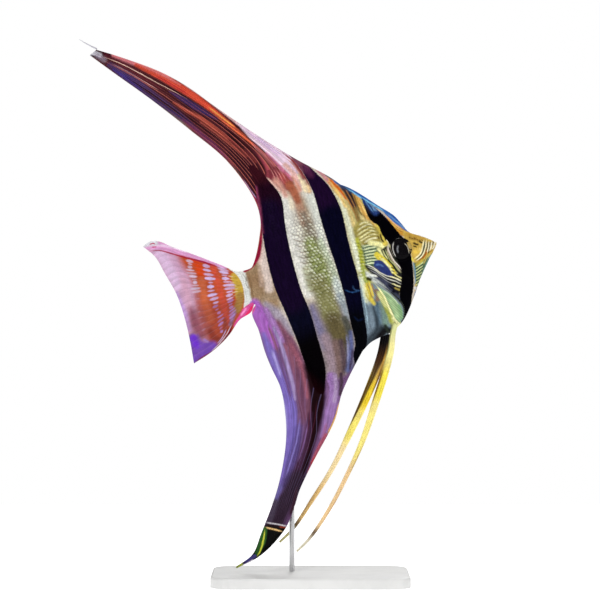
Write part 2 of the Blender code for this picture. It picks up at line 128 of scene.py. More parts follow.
PECTORAL_END = [(83, -13.4, -27.5), (83.8, -13.6, -32), (81.9, -13.4, -37), (79, -12.8, -39)]

# ---------------------------------------------------------------- colours, as screen values
CREAM = (206, 194, 178)  # the body, before its markings
BLUE_BLACK = (9, 9, 30)  # the bars, before their tints
PUPIL = (3, 3, 5)


# ---------------------------------------------------------------- curves
DENSE = 2001  # points on a curve that is searched or measured


def smooth(points, count, per_span=24):
    """count points, evenly spaced along a smooth curve through the given ones."""
    p = np.asarray(points, float)
    t = np.concatenate([[0], np.cumsum(np.linalg.norm(np.diff(p, axis=0), axis=1) ** 0.5)])
    step = np.diff(p, axis=0) / np.diff(t)[:, None]
    weight = (np.diff(t)[1:] / (t[2:] - t[:-2]))[:, None]
    slope = np.vstack([step[:1], step[:-1] * weight + step[1:] * (1 - weight), step[-1:]])
    dense = [p[:1]]
    for i in range(len(p) - 1):
        h = t[i + 1] - t[i]
        s = (np.arange(1, per_span + 1) / per_span)[:, None]
        dense.append((1 + 2 * s) * (1 - s) ** 2 * p[i] + s * (1 - s) ** 2 * h * slope[i]
                     + s**2 * (3 - 2 * s) * p[i + 1] + s**2 * (s - 1) * h * slope[i + 1])
    dense = np.vstack(dense)
    along = np.concatenate([[0], np.cumsum(np.linalg.norm(np.diff(dense, axis=0), axis=1))])
    at = np.linspace(0, along[-1], count)
    return np.stack([np.interp(at, along, dense[:, k]) for k in range(dense.shape[1])], axis=1)


def lookup(pairs, at):
    """The value of a smooth curve through (place, value) pairs."""
    curve = smooth(pairs, 200)
    return np.interp(at, curve[:, 0], curve[:, 1])


def offset(outline, by):
    """A flat open outline moved sideways, to the left of its direction, by a distance."""
    along = np.gradient(outline, axis=0)
    along /= np.linalg.norm(along, axis=1)[:, None]
    return outline + by * np.stack([-along[:, 1], along[:, 0]], axis=1)


def place(points):
    """Fish-frame millimetres as model metres."""
    p = np.asarray(points, float)
    x = p[:, 0] * math.cos(NOSE_UP) - p[:, 2] * math.sin(NOSE_UP) + TAIL_ROOT_X
    z = p[:, 0] * math.sin(NOSE_UP) + p[:, 2] * math.cos(NOSE_UP) + TAIL_ROOT_Z
    return np.stack([x, p[:, 1], z], axis=1) * MM


def ease(value, low, high):
    """0 below low, 1 above high, and a smooth rise between."""
    t = np.clip((value - low) / (high - low), 0, 1)
    return t * t * (3 - 2 * t)


PARTS = 8  # straight parts for each point of a route


def off_route(route, x, z, closed=False):
    """Each point's distance from a smooth route, and the share of the way along it. On a closed route
    the distance is positive inside and negative outside."""
    line = smooth([*route, route[0]] if closed else route, PARTS * len(route) + 1)
    least, share = np.full(x.shape, np.inf), np.zeros(x.shape)
    inside = np.zeros(x.shape, bool)
    for k in range(len(line) - 1):
        (ax, az), (bx, bz) = line[k], line[k + 1]
        dx, dz = bx - ax, bz - az
        t = np.clip(((x - ax) * dx + (z - az) * dz) / (dx * dx + dz * dz), 0, 1)
        distance = np.hypot(x - ax - t * dx, z - az - t * dz)
        closer = distance < least
        least[closer] = distance[closer]
        share[closer] = ((k + t) / (len(line) - 1))[closer]
        if closed and dz:
            crosses = (az > z) != (bz > z)
            inside ^= crosses & (x < ax + (z - az) * dx / dz)
    return (np.where(inside, least, -least) if closed else least), share


# ---------------------------------------------------------------- markings on the side view
SWING = 3  # how far a smooth route may swing past the points it is drawn through
FINE_LINE = 1  # a stroke narrower than this runs out in a point at both ends


def stroke(route, width, colour, soft=1.0, strength=1.0):
    """A soft-edged ribbon along a route. width is its half width, or values spread evenly along it."""
    return ("stroke", route, width, colour, soft, strength)


def field(outline, colour, soft=2.0, strength=1.0):
    """A soft-edged patch inside a closed outline."""
    return ("field", outline, 0, colour, soft, strength)


def linear(colour):
    """A screen colour as the renderer's linear values."""
    c = np.asarray(colour, float) / 255
    return np.where(c <= 0.04045, c / 12.92, ((c + 0.055) / 1.055) ** 2.4)


def shares_of(mark, x, z):
    """The points that a mark reaches, and how far it covers each."""
    kind, route, width, _, soft, strength = mark
    reach = np.max(width) + soft
    low, high = np.min(route, axis=0) - reach - SWING, np.max(route, axis=0) + reach + SWING
    near = np.nonzero((x > low[0]) & (x < high[0]) & (z > low[1]) & (z < high[1]))[0]
    if kind == "field":
        depth = off_route(route, x[near], z[near], closed=True)[0]
    else:
        distance, share = off_route(route, x[near], z[near])
        ends = np.atleast_1d(width).astype(float)
        depth = np.interp(share, np.linspace(0, 1, len(ends)), ends)
        if np.max(width) < FINE_LINE:
            tip = ease(np.minimum(share, 1 - share), -0.03, 0.16)
            depth *= 0.4 + 0.6 * tip
            strength *= 0.35 + 0.65 * tip
        depth -= distance
    return near, strength * ease(depth, -soft / 2, soft / 2)


def paint(colours, marks, x, z):
    """Lays each mark over the colours in turn."""
    for mark in marks:
        near, share = shares_of(mark, x, z)
        colours[near] += (linear(mark[3]) - colours[near]) * share[:, None]


# The three dark bars, each a closed outline.
BARS = {
    "rear": [(17.4, 54), (16.8, 60), (16.4, 67), (19.4, 66), (23.4, 60), (26.4, 54.4), (29.2, 48.9),
             (30.3, 43.3), (28.8, 28), (28.4, 9.7), (29.4, -9.1), (31.4, -21.3), (32.3, -37.8),
             (32.9, -50.1), (32.4, -57), (30.2, -64), (28, -69), (24.4, -66), (23.2, -58), (21.8, -47.6),
             (20.4, -35), (17.6, -18.1), (15.1, -4.1), (14.5, 11.2), (15.1, 26.2), (16.4, 44)],
    "middle": [(37.5, 72), (44.8, 57.7), (48.4, 44.5), (49.2, 27.6), (50.2, 12.7), (51.2, 3), (52, -8),
               (52.5, -20), (52.4, -34), (52.2, -45), (49.6, -52), (50, -57), (54, -54.6), (57.6, -49),
               (59.8, -43), (60.7, -33), (61.5, -20), (62.3, -10), (61.7, 3), (61.5, 12.6), (61.5, 31.6),
               (57.8, 45.6), (51.8, 55.6), (44.4, 66)],
    "eye": [(74.4, 35), (75, 28.3), (75.6, 23.3), (77.3, 19.7), (79.9, 17.2), (81, 11.3), (83.6, 6.3),
            (84.6, -0.4), (87, -9.9), (85.4, -17), (83.2, -22.4), (82.6, -27), (82.8, -34), (79.4, -41.6),
            (83.4, -39.8), (87.4, -32.5), (90, -25.4), (91.8, -20.8), (93.1, -14.5), (94, -7), (94.2, -1),
            (93.2, 5), (90.8, 9.6), (88.4, 14.5), (85, 21.3), (80.6, 27.4), (77.6, 31)],
}
BAR_TINTS = [
    field([(8, 76), (36, 76), (34, 46), (26, 34), (12, 42)], (34, 8, 26), soft=14),
    field([(8, 82), (34, 82), (32, 62), (24, 56), (12, 58)], (60, 18, 28), soft=8),
    stroke([(22, 38), (21, 8), (23, -12)], 8, (22, 8, 38), soft=8),
    field([(14, -34), (38, -34), (38, -80), (14, -80)], (3, 1, 3), soft=16),
    stroke([(17.2, 54), (17, 46), (16.4, 38), (15.6, 28)], (1, 0.9, 0.3), (140, 58, 92), soft=1.8),
    stroke([(20, -60), (27, -70)], 4, (26, 2, 6), soft=9, strength=0.9),
    stroke([(41, 70), (50, 52), (55, 38)], 7, (30, 10, 44), soft=10),
    stroke([(38, 76), (43, 66), (46.4, 59.6)], 3, (142, 82, 100), soft=4.5, strength=0.9),
    stroke([(47, 59), (49.4, 54)], 1.6, (90, 38, 76), soft=4),
    stroke([(61, -47.2), (57.6, -49.8), (54.6, -52.4), (51.6, -55.4)], 0.5, (72, 112, 158), soft=0.9),
    stroke([(56, 28), (57, 0), (58, -24)], 6, (7, 6, 30), soft=6),
    stroke([(55, -34), (55, -52)], 8, (3, 4, 8), soft=12),
    stroke([(53.6, -14.2), (56.9, -16.3), (61.6, -16.4)], 0.22, (60, 112, 180), soft=0.8, strength=0.7),
    stroke([(58.1, -12.7), (58.8, -15.1), (61.6, -16.4)], 0.22, (84, 130, 190), soft=0.8, strength=0.6),
    stroke([(55, -30), (57, -32.6), (60, -32)], 0.25, (24, 44, 90), soft=1.6, strength=0.4),
    field([(70, 30), (84, 36), (98, 6), (98, -46), (76, -46), (76, 12)], (3, 2, 6), soft=8),
    stroke([(75.6, 35), (76.8, 31), (78.6, 27.6), (80.4, 25)], 2, (44, 70, 132), soft=2, strength=0.95),
    stroke([(78.6, 30), (79.8, 27.4), (81.4, 25)], 0.5, (112, 146, 190), soft=1),
    stroke([(75, 30.4), (76, 27.4), (77, 24.6)], 0.8, (40, 32, 38), soft=1.4),
    stroke([(79.6, 30), (84, 24), (87, 18)], 0.7, (44, 22, 66), soft=1.6, strength=0.9),
    stroke([(76, 33.4), (77, 30), (79.2, 25)], 0.3, (110, 160, 210), soft=0.6),
    stroke([(77.4, 32), (79.3, 28.6), (79.9, 25.4)], 0.3, (120, 170, 214), soft=0.6),
]

BODY_MARKS = [
    # between the tail and the rear bar
    field([(-4, 14), (14, 14), (15, -16), (4, -16), (-4, -12)], (160, 132, 100), soft=6),
    stroke([(1.6, 3), (6, 3), (9, 1)], 3.4, (144, 114, 84), soft=5, strength=0.8),
    stroke([(14, 36), (12.6, 22), (12.2, 10), (12.6, 1), (12, -4)], (1.6, 2.6, 2.8, 2.4),
           (220, 202, 192), soft=3.4),
    stroke([(6, -10), (11, -8), (14, -9)], 2, (158, 136, 110), soft=4),
    stroke([(9.6, 13), (12.4, 18)], 1.1, (228, 198, 188), soft=2),
    stroke([(8, -12), (12, -17), (15, -23), (18.4, -32)], (1.6, 2.8, 2.6, 1.8), (162, 152, 166), soft=3.6),
    stroke([(17.6, -34), (20.4, -46), (21, -54)], 1.2, (150, 96, 112), soft=2.6),
    # between the rear and middle bars: cream to silver, with an olive flank
    field([(26, 54), (50, 56), (51, 20), (54, -12), (30, -12), (27, 20)], (214, 208, 196), soft=5),
    field([(22, -18), (54, -18), (53, -40), (48, -62), (36, -68), (24, -60)], (132, 120, 122), soft=9),
    stroke([(40.6, 40), (41.4, 20), (41.8, 4), (42.4, -14), (44, -30), (45, -42)],
           (1.6, 3, 3.8, 4.2, 4.4, 3), (140, 134, 96), soft=6),
    stroke([(31.8, 45), (31.4, 24), (31.8, 6), (32.4, -12)], (2.4, 2.8, 2.6, 2), (226, 224, 216), soft=2.8),
    stroke([(46.4, 42), (47.4, 28), (47, 12)], 2, (220, 222, 212), soft=2.6),
    stroke([(43.6, 53), (45.6, 49), (46.6, 45)], 1.3, (192, 152, 124), soft=2),
    stroke([(46, 16), (48.4, 4), (50, -6)], 1.8, (196, 206, 178), soft=2.6),
    stroke([(48.8, -7), (50, -13), (50.4, -19)], (2, 2.4, 1.8), (206, 216, 210), soft=2.6),
    stroke([(36.6, 54), (38.4, 46), (39.4, 37), (40.4, 28)], (2.4, 3, 2.6), (176, 136, 112), soft=4),
    stroke([(34, 50), (34.8, 44), (35, 38)], 1.2, (238, 226, 200), soft=2.4, strength=0.8),
    stroke([(40.4, 33), (41.6, 24), (42, 18)], (1.6, 2.6), (142, 130, 114), soft=4.6),
    stroke([(40.4, 16), (41.6, 8), (42, 0), (42.6, -6)], (3.4, 5, 5.4), (150, 160, 98), soft=4.6),
    stroke([(35.4, 2), (35.4, -8)], 2.6, (182, 184, 152), soft=4),
    stroke([(39.8, -6), (41, -12), (42, -18), (42.4, -25)], (4.6, 5.4, 5), (136, 134, 86), soft=5),
    stroke([(42.8, -29), (43.8, -34), (45, -39), (46, -43)], (4.6, 6, 5), (94, 84, 54), soft=7),
    stroke([(49.8, -17), (50.8, -23), (51.4, -30)], (2, 1.8, 1.2), (150, 160, 168), soft=4),
    stroke([(49.6, -30), (50.6, -36), (50, -42)], 1.8, (78, 78, 70), soft=2.4),
    *(stroke([(30.8 + 0.25 * k, 24 - 3.4 * k), (35.4, 21.4 - 3.2 * k), (39.6 - 0.2 * k, 21 - 3 * k)], 0.28,
             (118, 100, 66), soft=0.7, strength=0.7) for k in range(11)),
    *(stroke([(33.6 + 0.4 * k, 14 - 3.4 * k), (38.6, 11.4 - 3.1 * k), (45.6, 13.4 - 3 * k)], 0.32,
             (84, 86, 36), soft=0.8, strength=0.75) for k in range(9)),
    stroke([(33, -19), (33.8, -27), (35, -36), (35.2, -43)], (1.2, 1.9, 2.2, 1.6), (126, 120, 152), soft=4),
    stroke([(36.6, -38), (37.6, -48), (36.8, -58)], 2.8, (150, 130, 140), soft=4),
    stroke([(41.4, -42), (41, -52), (40.2, -60)], 2, (122, 98, 94), soft=3),
    stroke([(44.6, -42), (44.2, -50), (43, -58)], 1.5, (84, 66, 72), soft=2.6),
    stroke([(50.4, -55), (46.6, -60), (42.6, -65.6), (39, -71)], (0.8, 1.2, 1), (84, 70, 92), soft=2),
    stroke([(51.2, -38), (50, -45), (48, -52), (45.4, -59)], (0.8, 1.6, 1.7), (92, 100, 148), soft=2.6),
    stroke([(48.6, -39), (47.6, -47), (45.6, -55)], 0.3, (142, 146, 190), soft=0.8),
    stroke([(47, -42), (46, -50), (44, -58)], 0.35, (50, 46, 70), soft=0.8, strength=0.8),
    stroke([(50.6, -47), (48, -54), (45.4, -60)], 0.7, (66, 56, 84), soft=1.4),
    # between the middle bar and the eye bar, above the gills
    field([(60, 46), (78, 34), (82, 14), (86, -12), (64, -14), (62, 20)], (182, 180, 120), soft=5),
    stroke([(62.6, 40), (63.6, 31), (64.2, 20), (64.4, 8), (64.2, -4)], 1.7, (226, 228, 200), soft=2),
    stroke([(56, 54), (59.6, 46.4), (61.6, 41.6), (63.4, 37), (64.4, 32)], (0.8, 1.3, 0.8),
           (242, 204, 120), soft=1.6),
    stroke([(55.4, 53), (58.2, 47.4), (60.2, 43.4)], 0.5, (226, 150, 96), soft=1.2),
    stroke([(58.6, 50.4), (61.4, 45.6), (63.6, 41.6), (65.2, 37.8), (66.6, 33.4)], (0.7, 0.9, 0.5),
           (214, 104, 30), soft=1.1),
    stroke([(57, 54), (59.6, 51.4), (61.6, 48.6)], 0.9, (160, 92, 120), soft=1.4),
    stroke([(65.6, 34), (66.4, 27), (66.8, 20)], 1.4, (212, 190, 124), soft=2.2),
    stroke([(63.4, 46.6), (66.6, 42), (68.2, 38), (69, 33), (69.6, 27)], (0.9, 2.1, 2.3, 2, 1),
           (58, 42, 46), soft=1.6),
    stroke([(66, 44), (68.6, 40), (69.6, 36)], 0.8, (36, 30, 50), soft=1.4),
    stroke([(68, 45), (69, 39), (70, 33)], 0.5, (30, 24, 30), soft=1),
    stroke([(64.6, 41), (67, 34), (68.6, 27), (69.2, 21)], 0.3, (206, 140, 66), soft=0.7),
    stroke([(66.4, 43), (68.4, 36), (70, 28)], 0.25, (176, 120, 66), soft=0.6),
    stroke([(69.6, 29), (70, 24), (70, 19)], 1.2, (142, 116, 66), soft=2),
    stroke([(71.6, 38.6), (72.6, 31.6), (74.2, 26.2), (76, 20.9), (78.2, 16.6), (80, 12.6)], (1.8, 1.1),
           (218, 170, 88), soft=1.4),
    stroke([(70.6, 38.4), (71, 32), (72, 26), (73.4, 22)], 0.35, (120, 84, 40), soft=0.8),
    stroke([(73, 33), (74.8, 26.6), (77.6, 20), (79.6, 15.4)], 0.35, (246, 214, 134), soft=0.7),
    stroke([(72.4, 26), (74.6, 19.6), (77.4, 15.4)], 0.5, (160, 122, 56), soft=1.2),
    stroke([(71.4, 25), (73.6, 21.4), (76.4, 19.4)], 0.9, (226, 208, 144), soft=1.4),
    # fine pale arcs on gold, and under them on green
    field([(65.4, 18), (70, 22), (75, 20.6), (79.6, 14.6), (80.2, 8.4), (70, 7.6), (66, 11)],
          (166, 152, 78), soft=2),
    stroke([(69.4, 19.8), (72.6, 20.6), (75, 20)], 0.4, (238, 232, 180), soft=0.6),
    stroke([(67.6, 16.6), (71.3, 18.4), (75.3, 18.9), (77, 17.6)], 0.42, (240, 234, 184), soft=0.6),
    stroke([(67.2, 14.2), (71.5, 16), (75.5, 16.9), (77.4, 15.8)], 0.42, (236, 230, 170), soft=0.6),
    stroke([(67.6, 12.2), (71.8, 13.9), (75.8, 15), (77.9, 13.9)], 0.42, (240, 234, 176), soft=0.6),
    stroke([(67, 10.3), (71, 11.7), (75.4, 12.9), (78.4, 12)], 0.44, (244, 236, 176), soft=0.6),
    stroke([(70, 9.4), (74, 10.6), (78, 10.4)], 0.5, (244, 238, 190), soft=0.7),
    *(stroke([(68.6, 17.7 - 2.1 * k), (72.6, 19.2 - 2.1 * k), (77, 17.2 - 1.6 * k)], 0.16,
             (88, 78, 30), soft=0.5) for k in range(4)),
    field([(67.6, 8), (77, 7.8), (77.6, 2), (75.4, -4), (68, -4)], (72, 98, 66), soft=1.6),
    *(stroke([(68.4, 7.2 - 1.62 * k), (72.2, 7.4 - 1.72 * k), (76.4 - 0.2 * k, 7.4 - 1.84 * k)], 0.42,
             (222, 232, 186), soft=0.6) for k in range(7)),
    stroke([(66.6, 12), (66.6, 4), (66.2, -4), (66.4, -9), (67, -13.6)], (1.1, 1.5, 1.7),
           (190, 192, 66), soft=1.6),
    *(stroke([(64.8, 10.4 - 1.9 * k), (67.8, 9.4 - 1.95 * k)], 0.22, (98, 108, 34), soft=0.7, strength=0.8)
      for k in range(11)),
    *(stroke([(63.4, 9.4 - 1.9 * k), (65.4, 9.2 - 1.9 * k)], 0.3, (240, 246, 230), soft=0.7, strength=0.8)
      for k in range(13)),
    # the yellow patches behind the eye
    stroke([(73.4, 8.6), (77.6, 6.8), (81, 4.6)], 1.4, (244, 240, 172), soft=1.2),
    stroke([(76.4, 5), (77.9, 2.6), (79.2, -0.4)], 0.9, (236, 234, 166), soft=1),
    stroke([(79.6, 18), (80.8, 12), (81.6, 6.4)], (1, 1.6), (216, 194, 84), soft=1.2),
    stroke([(81.2, 16.6), (81.6, 13), (82.4, 9.6)], 0.4, (250, 240, 190), soft=0.6),
    stroke([(80.2, 12.6), (80.1, 9), (81, 7)], 0.45, (36, 28, 12), soft=0.6),
    stroke([(82, 10.6), (82.2, 7.6)], 0.4, (40, 30, 12), soft=0.6),
    stroke([(78.4, 11.6), (78.8, 9.4)], 0.4, (96, 78, 34), soft=0.7),
    stroke([(82.8, 8.8), (83.4, 6.6)], 0.35, (246, 236, 200), soft=0.5),
    field([(78.2, 3.2), (82.4, 4.6), (85, -1), (88, -11), (86.6, -15), (83, -9), (79.6, -2)],
          (26, 30, 20), soft=0.8),
    stroke([(75.4, 1.2), (78, -2.8), (80.2, -6.8), (82, -11.2), (84, -15)], (1.5, 2, 1.9, 0.9),
           (226, 208, 72), soft=0.8),
    stroke([(76.6, -0.6), (79, -4), (81, -8), (82.4, -12)], (0.5, 0.8, 0.5), (250, 246, 176), soft=0.7),
    *(stroke([(81.6 - 0.3 * k, -7.4 - 1.9 * k), (83.2 - 0.2 * k, -8.8 - 1.7 * k)], 0.24,
             (60, 52, 22), soft=0.5) for k in range(4)),
    stroke([(83.5, 5.9), (82.5, 4), (82.7, 0.8), (83.9, -3.8), (85.9, -7.6), (87.2, -10.4)], 0.3,
           (248, 238, 222), soft=0.4),
    stroke([(81.8, 4.3), (82, 0.5), (83.1, -3.6), (84.9, -7.5), (86.7, -11.7)], 0.2,
           (222, 204, 170), soft=0.4),
    stroke([(80.6, 3.6), (81.2, 0.3), (82, -3.3), (83.8, -6.7), (86.3, -11.9)], 0.28,
           (196, 200, 140), soft=0.4),
    stroke([(79.2, 3.2), (79.8, 0.4), (81, -3)], 0.3, (226, 226, 160), soft=0.45),
    # the navy patch and the pale lines under it
    field([(67, -3), (73, -5.6), (79, -11), (87, -13), (87, -20), (82, -23), (76, -16.6), (70, -9)],
          (28, 28, 30), soft=1.2),
    field([(73.4, -1.6), (76.8, -2.4), (78.8, -4.7), (80.3, -7.5), (81.3, -10.7), (81.3, -13.1),
           (79.2, -12.5), (76.3, -10.1), (74.3, -7.1), (72.4, -4.6)], (46, 58, 118), soft=0.7),
    stroke([(73.4, -4.4), (75.6, -4.6), (77.6, -6.4)], 0.4, (84, 116, 170), soft=1),
    stroke([(67.6, -2.4), (71.4, -5), (74.6, -8.6), (78, -11.6), (81.5, -13.4), (85.6, -17)], 0.28,
           (240, 238, 222), soft=0.42),
    stroke([(68.6, -4.3), (72.2, -7), (75, -10.2), (77.8, -13), (81.4, -15.2), (85.4, -18.4)], 0.26,
           (220, 220, 206), soft=0.42),
    stroke([(69.4, -6.3), (72.9, -9.2), (75.5, -12.2), (78.1, -15), (81, -17.2), (84.6, -20)], 0.22,
           (150, 152, 160), soft=0.45),
    stroke([(79.4, -12.4), (82.7, -14), (86, -16.6)], 0.36, (252, 246, 190), soft=0.45),
    stroke([(82.4, -11.6), (84.6, -13.6), (86.6, -15.2)], 0.3, (244, 236, 160), soft=0.45),
    stroke([(79.8, -16.4), (82.4, -18.2), (85, -19.8)], 0.36, (244, 236, 176), soft=0.5),
    stroke([(80.8, -19.2), (83, -20.8), (84.6, -21.8)], 0.6, (182, 162, 76), soft=0.8),
    stroke([(81.6, -18.8), (83.6, -20.4)], 0.2, (20, 20, 14), soft=0.4),
    # silver and slate over the throat
    stroke([(66.8, -7.6), (70, -11), (73.4, -14.6), (77.4, -18.6)], (1.3, 1.7, 0.9),
           (214, 220, 216), soft=1.6),
    stroke([(71.6, -10.6), (75, -13.8), (77.6, -17.4), (79.9, -21), (82.3, -25.3), (83.4, -29.4)],
           (0.7, 1.4, 1), (72, 76, 98), soft=1),
    stroke([(77.6, -16.6), (80.6, -20.4), (83, -24)], 0.6, (22, 20, 36), soft=0.9),
    stroke([(79.4, -20.4), (80.6, -21.8)], 0.7, (16, 12, 30), soft=0.8),
    # the throat and chest
    field([(61, -15), (70, -14), (80, -24), (84, -34), (80, -44), (66, -48), (58, -50), (59, -30)],
          (114, 132, 146), soft=2.4),
    stroke([(72, -26), (72.6, -32), (71.6, -38)], 2, (120, 146, 134), soft=3),
    stroke([(64.4, -16.6), (64.6, -24)], 1.2, (170, 184, 184), soft=2.4),
    stroke([(69, -25.4), (68.6, -30.8), (68.1, -36.6)], 1.2, (92, 116, 134), soft=2),
    stroke([(66.8, -27), (67.2, -33.3), (66.6, -38.9), (64.8, -42.8)], (0.6, 1.2, 0.8),
           (56, 68, 78), soft=1.8),
    stroke([(64.4, -28), (64.2, -36), (61.8, -43)], 0.7, (130, 146, 160), soft=1.8, strength=0.8),
    stroke([(59, -47), (63, -43.6), (68.6, -40.4)], 2.6, (52, 62, 70), soft=3.6),
    stroke([(64, -46.6), (68, -43.4), (71, -41.6), (73, -43)], 1.9, (10, 10, 15), soft=2.2),
    stroke([(70.6, -38), (72, -42), (73, -45)], 0.9, (40, 48, 40), soft=1.6),
    field([(70.4, -19), (72.6, -24), (74.2, -30), (75, -38), (76, -46), (82, -44), (79, -37)],
          (188, 192, 110), soft=1),
    stroke([(71.6, -20.6), (73, -27), (74.4, -34), (74.8, -40)], 0.9, (168, 172, 76), soft=1.4),
    stroke([(77.4, -36), (78.2, -40), (79.4, -43)], 1.5, (236, 234, 178), soft=1.2),
    stroke([(76.6, -37), (77.2, -41), (77.4, -44)], 0.2, (110, 100, 50), soft=0.5),
    stroke([(66.5, -45.2), (60.4, -47.8), (55.6, -52.6)], 0.5, (70, 112, 160), soft=1),
    stroke([(63, -6), (62.8, -22), (61.6, -38)], 0.25, (176, 206, 222), soft=0.6, strength=0.8),
    # the yellow brush behind the breast fin
    stroke([(64.2, -10), (63.8, -17), (64, -23)], 1, (226, 232, 200), soft=1.6),
    stroke([(66.2, -4), (65.8, -8), (66, -12)], 1.1, (170, 180, 84), soft=1.6),
    stroke([(66.2, -14), (65.8, -17), (66.2, -21.6), (67.8, -25.4)], (1, 1.8, 0.9),
           (228, 208, 84), soft=1.4),
    stroke([(64.9, -12.6), (64.9, -17), (65.5, -21.6)], 0.4, (246, 240, 170), soft=0.6),
    stroke([(67.6, -12.1), (68, -17.2), (68.3, -21.7)], 0.5, (240, 214, 84), soft=0.7),
    stroke([(66.6, -13), (66.9, -18), (67.6, -22.6)], 0.25, (176, 138, 34), soft=0.5),
    stroke([(68.8, -14), (69.2, -18.6)], 0.25, (170, 120, 40), soft=0.5),
    stroke([(70.3, -18.7), (70.9, -20.9), (70, -23.4)], 1.3, (128, 100, 84), soft=1.1),
    stroke([(66.6, -10.2), (69.4, -12.2)], 0.9, (44, 44, 14), soft=0.9),
    stroke([(67.6, -8.4), (70.6, -9.6), (73, -11)], 0.6, (240, 242, 232), soft=0.7),
    # the nape's rim, blue, over a gold forehead
    stroke([(44, 66), (53, 58.5), (60, 51.5)], 1.2, (150, 84, 128), soft=2),
    stroke([(53, 57), (56.6, 51.6), (58.6, 47.6)], 0.9, (196, 136, 146), soft=1.6),
    stroke([(58.4, 52), (62, 48.4), (65, 45)], 1, (44, 50, 84), soft=1.2),
    stroke([(62.6, 47.4), (69, 42), (76.6, 34.4), (85.3, 25.6)], (1.2, 1.6, 2, 1.6), (44, 92, 168), soft=1),
    stroke([(64, 44), (67.6, 41.4), (70.4, 38)], 0.8, (50, 62, 96), soft=1),
    stroke([(67, 42.4), (69.8, 39.6), (73.9, 35.2), (77.6, 31.6), (82.2, 27.4), (85.4, 23.8), (87, 20.8)],
           (0.25, 0.5, 0.3), (122, 190, 226), soft=0.6),
    stroke([(86.4, 19.6), (88.4, 15.8), (91, 12), (94, 9.4), (98, 7)], (1, 1.9, 2.2, 1.5),
           (208, 150, 58), soft=1),
    field([(84, 28), (88, 25), (92.6, 20.6), (97.4, 14.6), (98.4, 9), (96.2, 9.5), (94.1, 11.2),
           (92.1, 13.6), (90, 15.6), (88.2, 17.9), (86.5, 20.4), (85, 23.5)], (58, 108, 182), soft=0.9),
    stroke([(89, 21.4), (92.4, 17.4), (95.2, 12)], 0.7, (36, 82, 168), soft=1.6),
    stroke([(86.4, 22.6), (89, 19.4), (92, 15.4), (94.6, 11.6)], 0.3,
           (126, 170, 216), soft=0.8, strength=0.8),
    stroke([(85, 22.7), (87.7, 18.4), (90.4, 14.6), (92.6, 12.2)], 0.3, (236, 190, 140), soft=0.6),
    stroke([(88.6, 14.8), (90.8, 12.4), (93.6, 10), (96.4, 8.6)], 0.35, (156, 96, 26), soft=0.9),
    stroke([(87.6, 16.6), (90, 13.4), (93, 11), (96, 9.4)], 0.25, (236, 196, 100), soft=0.6),
    # the snout: gold, with pale lines that run down and back from the brow
    field([(93, 11), (97, 9.2), (104, 5.6), (110.6, 1), (110, -3), (103, -9.6), (95, -19), (92, -24),
           (94, -12), (94.2, -2), (92.6, 6)], (212, 178, 84), soft=1.2),
    stroke([(94.6, 8.6), (99, 6.6), (103.4, 4.4)], 1.1, (196, 156, 66), soft=1.4),
    stroke([(95, 6.6), (99, 4.6), (102, 3)], 0.7, (160, 124, 52), soft=1.4),
    *(stroke([(95.6 + 1.3 * k, 7 - 0.7 * k + 0.5 * math.sin(4 * k)), (96.2 + 1.3 * k, 6.2 - 0.7 * k)], 0.24,
             (92, 62, 16), soft=0.5) for k in range(6)),
    stroke([(97, 3.2), (98.2, 2.2), (100, 1.2)], 0.6, (56, 44, 20), soft=1),
    stroke([(100.4, 3.2), (102.2, 1.8)], 0.5, (50, 44, 28), soft=0.9),
    stroke([(96.6, 1.4), (98.6, 0.2)], 0.35, (60, 44, 14), soft=0.6),
    stroke([(96.8, -2), (98.6, -2.6)], 1, (232, 196, 84), soft=1.4),
    stroke([(99.4, -0.6), (100.4, -2)], 0.7, (236, 206, 120), soft=1.2),
    stroke([(104.3, 3.3), (102.9, 0.2), (101.3, -3.2), (99.3, -5.3), (95.8, -6.8)], 0.5,
           (62, 74, 56), soft=0.5),
    stroke([(105.7, 2.6), (104.3, -0.9), (102.9, -3.6), (100.6, -6), (97.2, -7.8)], 0.45,
           (84, 82, 44), soft=0.5),
    stroke([(104.4, -2), (102.6, -4.6), (100.3, -6.6), (97.3, -8.5)], 0.5, (176, 104, 36), soft=0.6),
    stroke([(106.9, 1.9), (105.7, -1.3), (104, -4.7)], 0.35, (70, 58, 34), soft=0.5),
    stroke([(108.6, 1.5), (107.5, -0.8)], 0.35, (84, 70, 44), soft=0.5),
    stroke([(103.5, 3.5), (102.1, 0.4), (100.6, -2.6), (98.6, -4.6), (95.3, -5.9)], 0.36,
           (250, 240, 190), soft=0.4),
    stroke([(104.9, 3.2), (103.7, 0), (101.9, -3.4), (99.9, -5.5), (96.1, -7.3)], 0.34,
           (250, 240, 196), soft=0.4),
    stroke([(106.2, 2.1), (105, -1.1), (103.6, -4.2)], 0.34, (250, 244, 206), soft=0.4),
    stroke([(107.8, 1.6), (106.7, -1), (105.3, -3.4)], 0.4, (252, 246, 214), soft=0.4),
    stroke([(109.4, 1.1), (108.2, -1.4), (106.8, -3.2)], 0.4, (236, 232, 206), soft=0.4),
    field([(94.4, -8), (100, -8.4), (103.6, -6.4), (100, -13), (94, -20.6), (93.6, -14)],
          (78, 106, 84), soft=1.2),
    stroke([(95.4, -9.6), (98.4, -8.6), (101, -7.2)], 0.8, (186, 168, 66), soft=1),
    *(stroke([(101.2 - 0.85 * k, -8.6 - 1.75 * k), (98 - 0.5 * k, -9.8 - 1.7 * k),
              (95 - 0.3 * k, -11 - 1.6 * k)], 0.34, (196, 206, 140), soft=0.5) for k in range(7)),
    *(stroke([(100.6 - 0.85 * k, -9.7 - 1.75 * k), (97.6 - 0.5 * k, -10.8 - 1.7 * k),
              (94.8 - 0.3 * k, -11.8 - 1.6 * k)], 0.24, (34, 52, 40), soft=0.4) for k in range(7)),
    stroke([(106.8, -4.6), (104, -7.4), (101.8, -10.4), (99.2, -14.4), (95.8, -19)], 0.4,
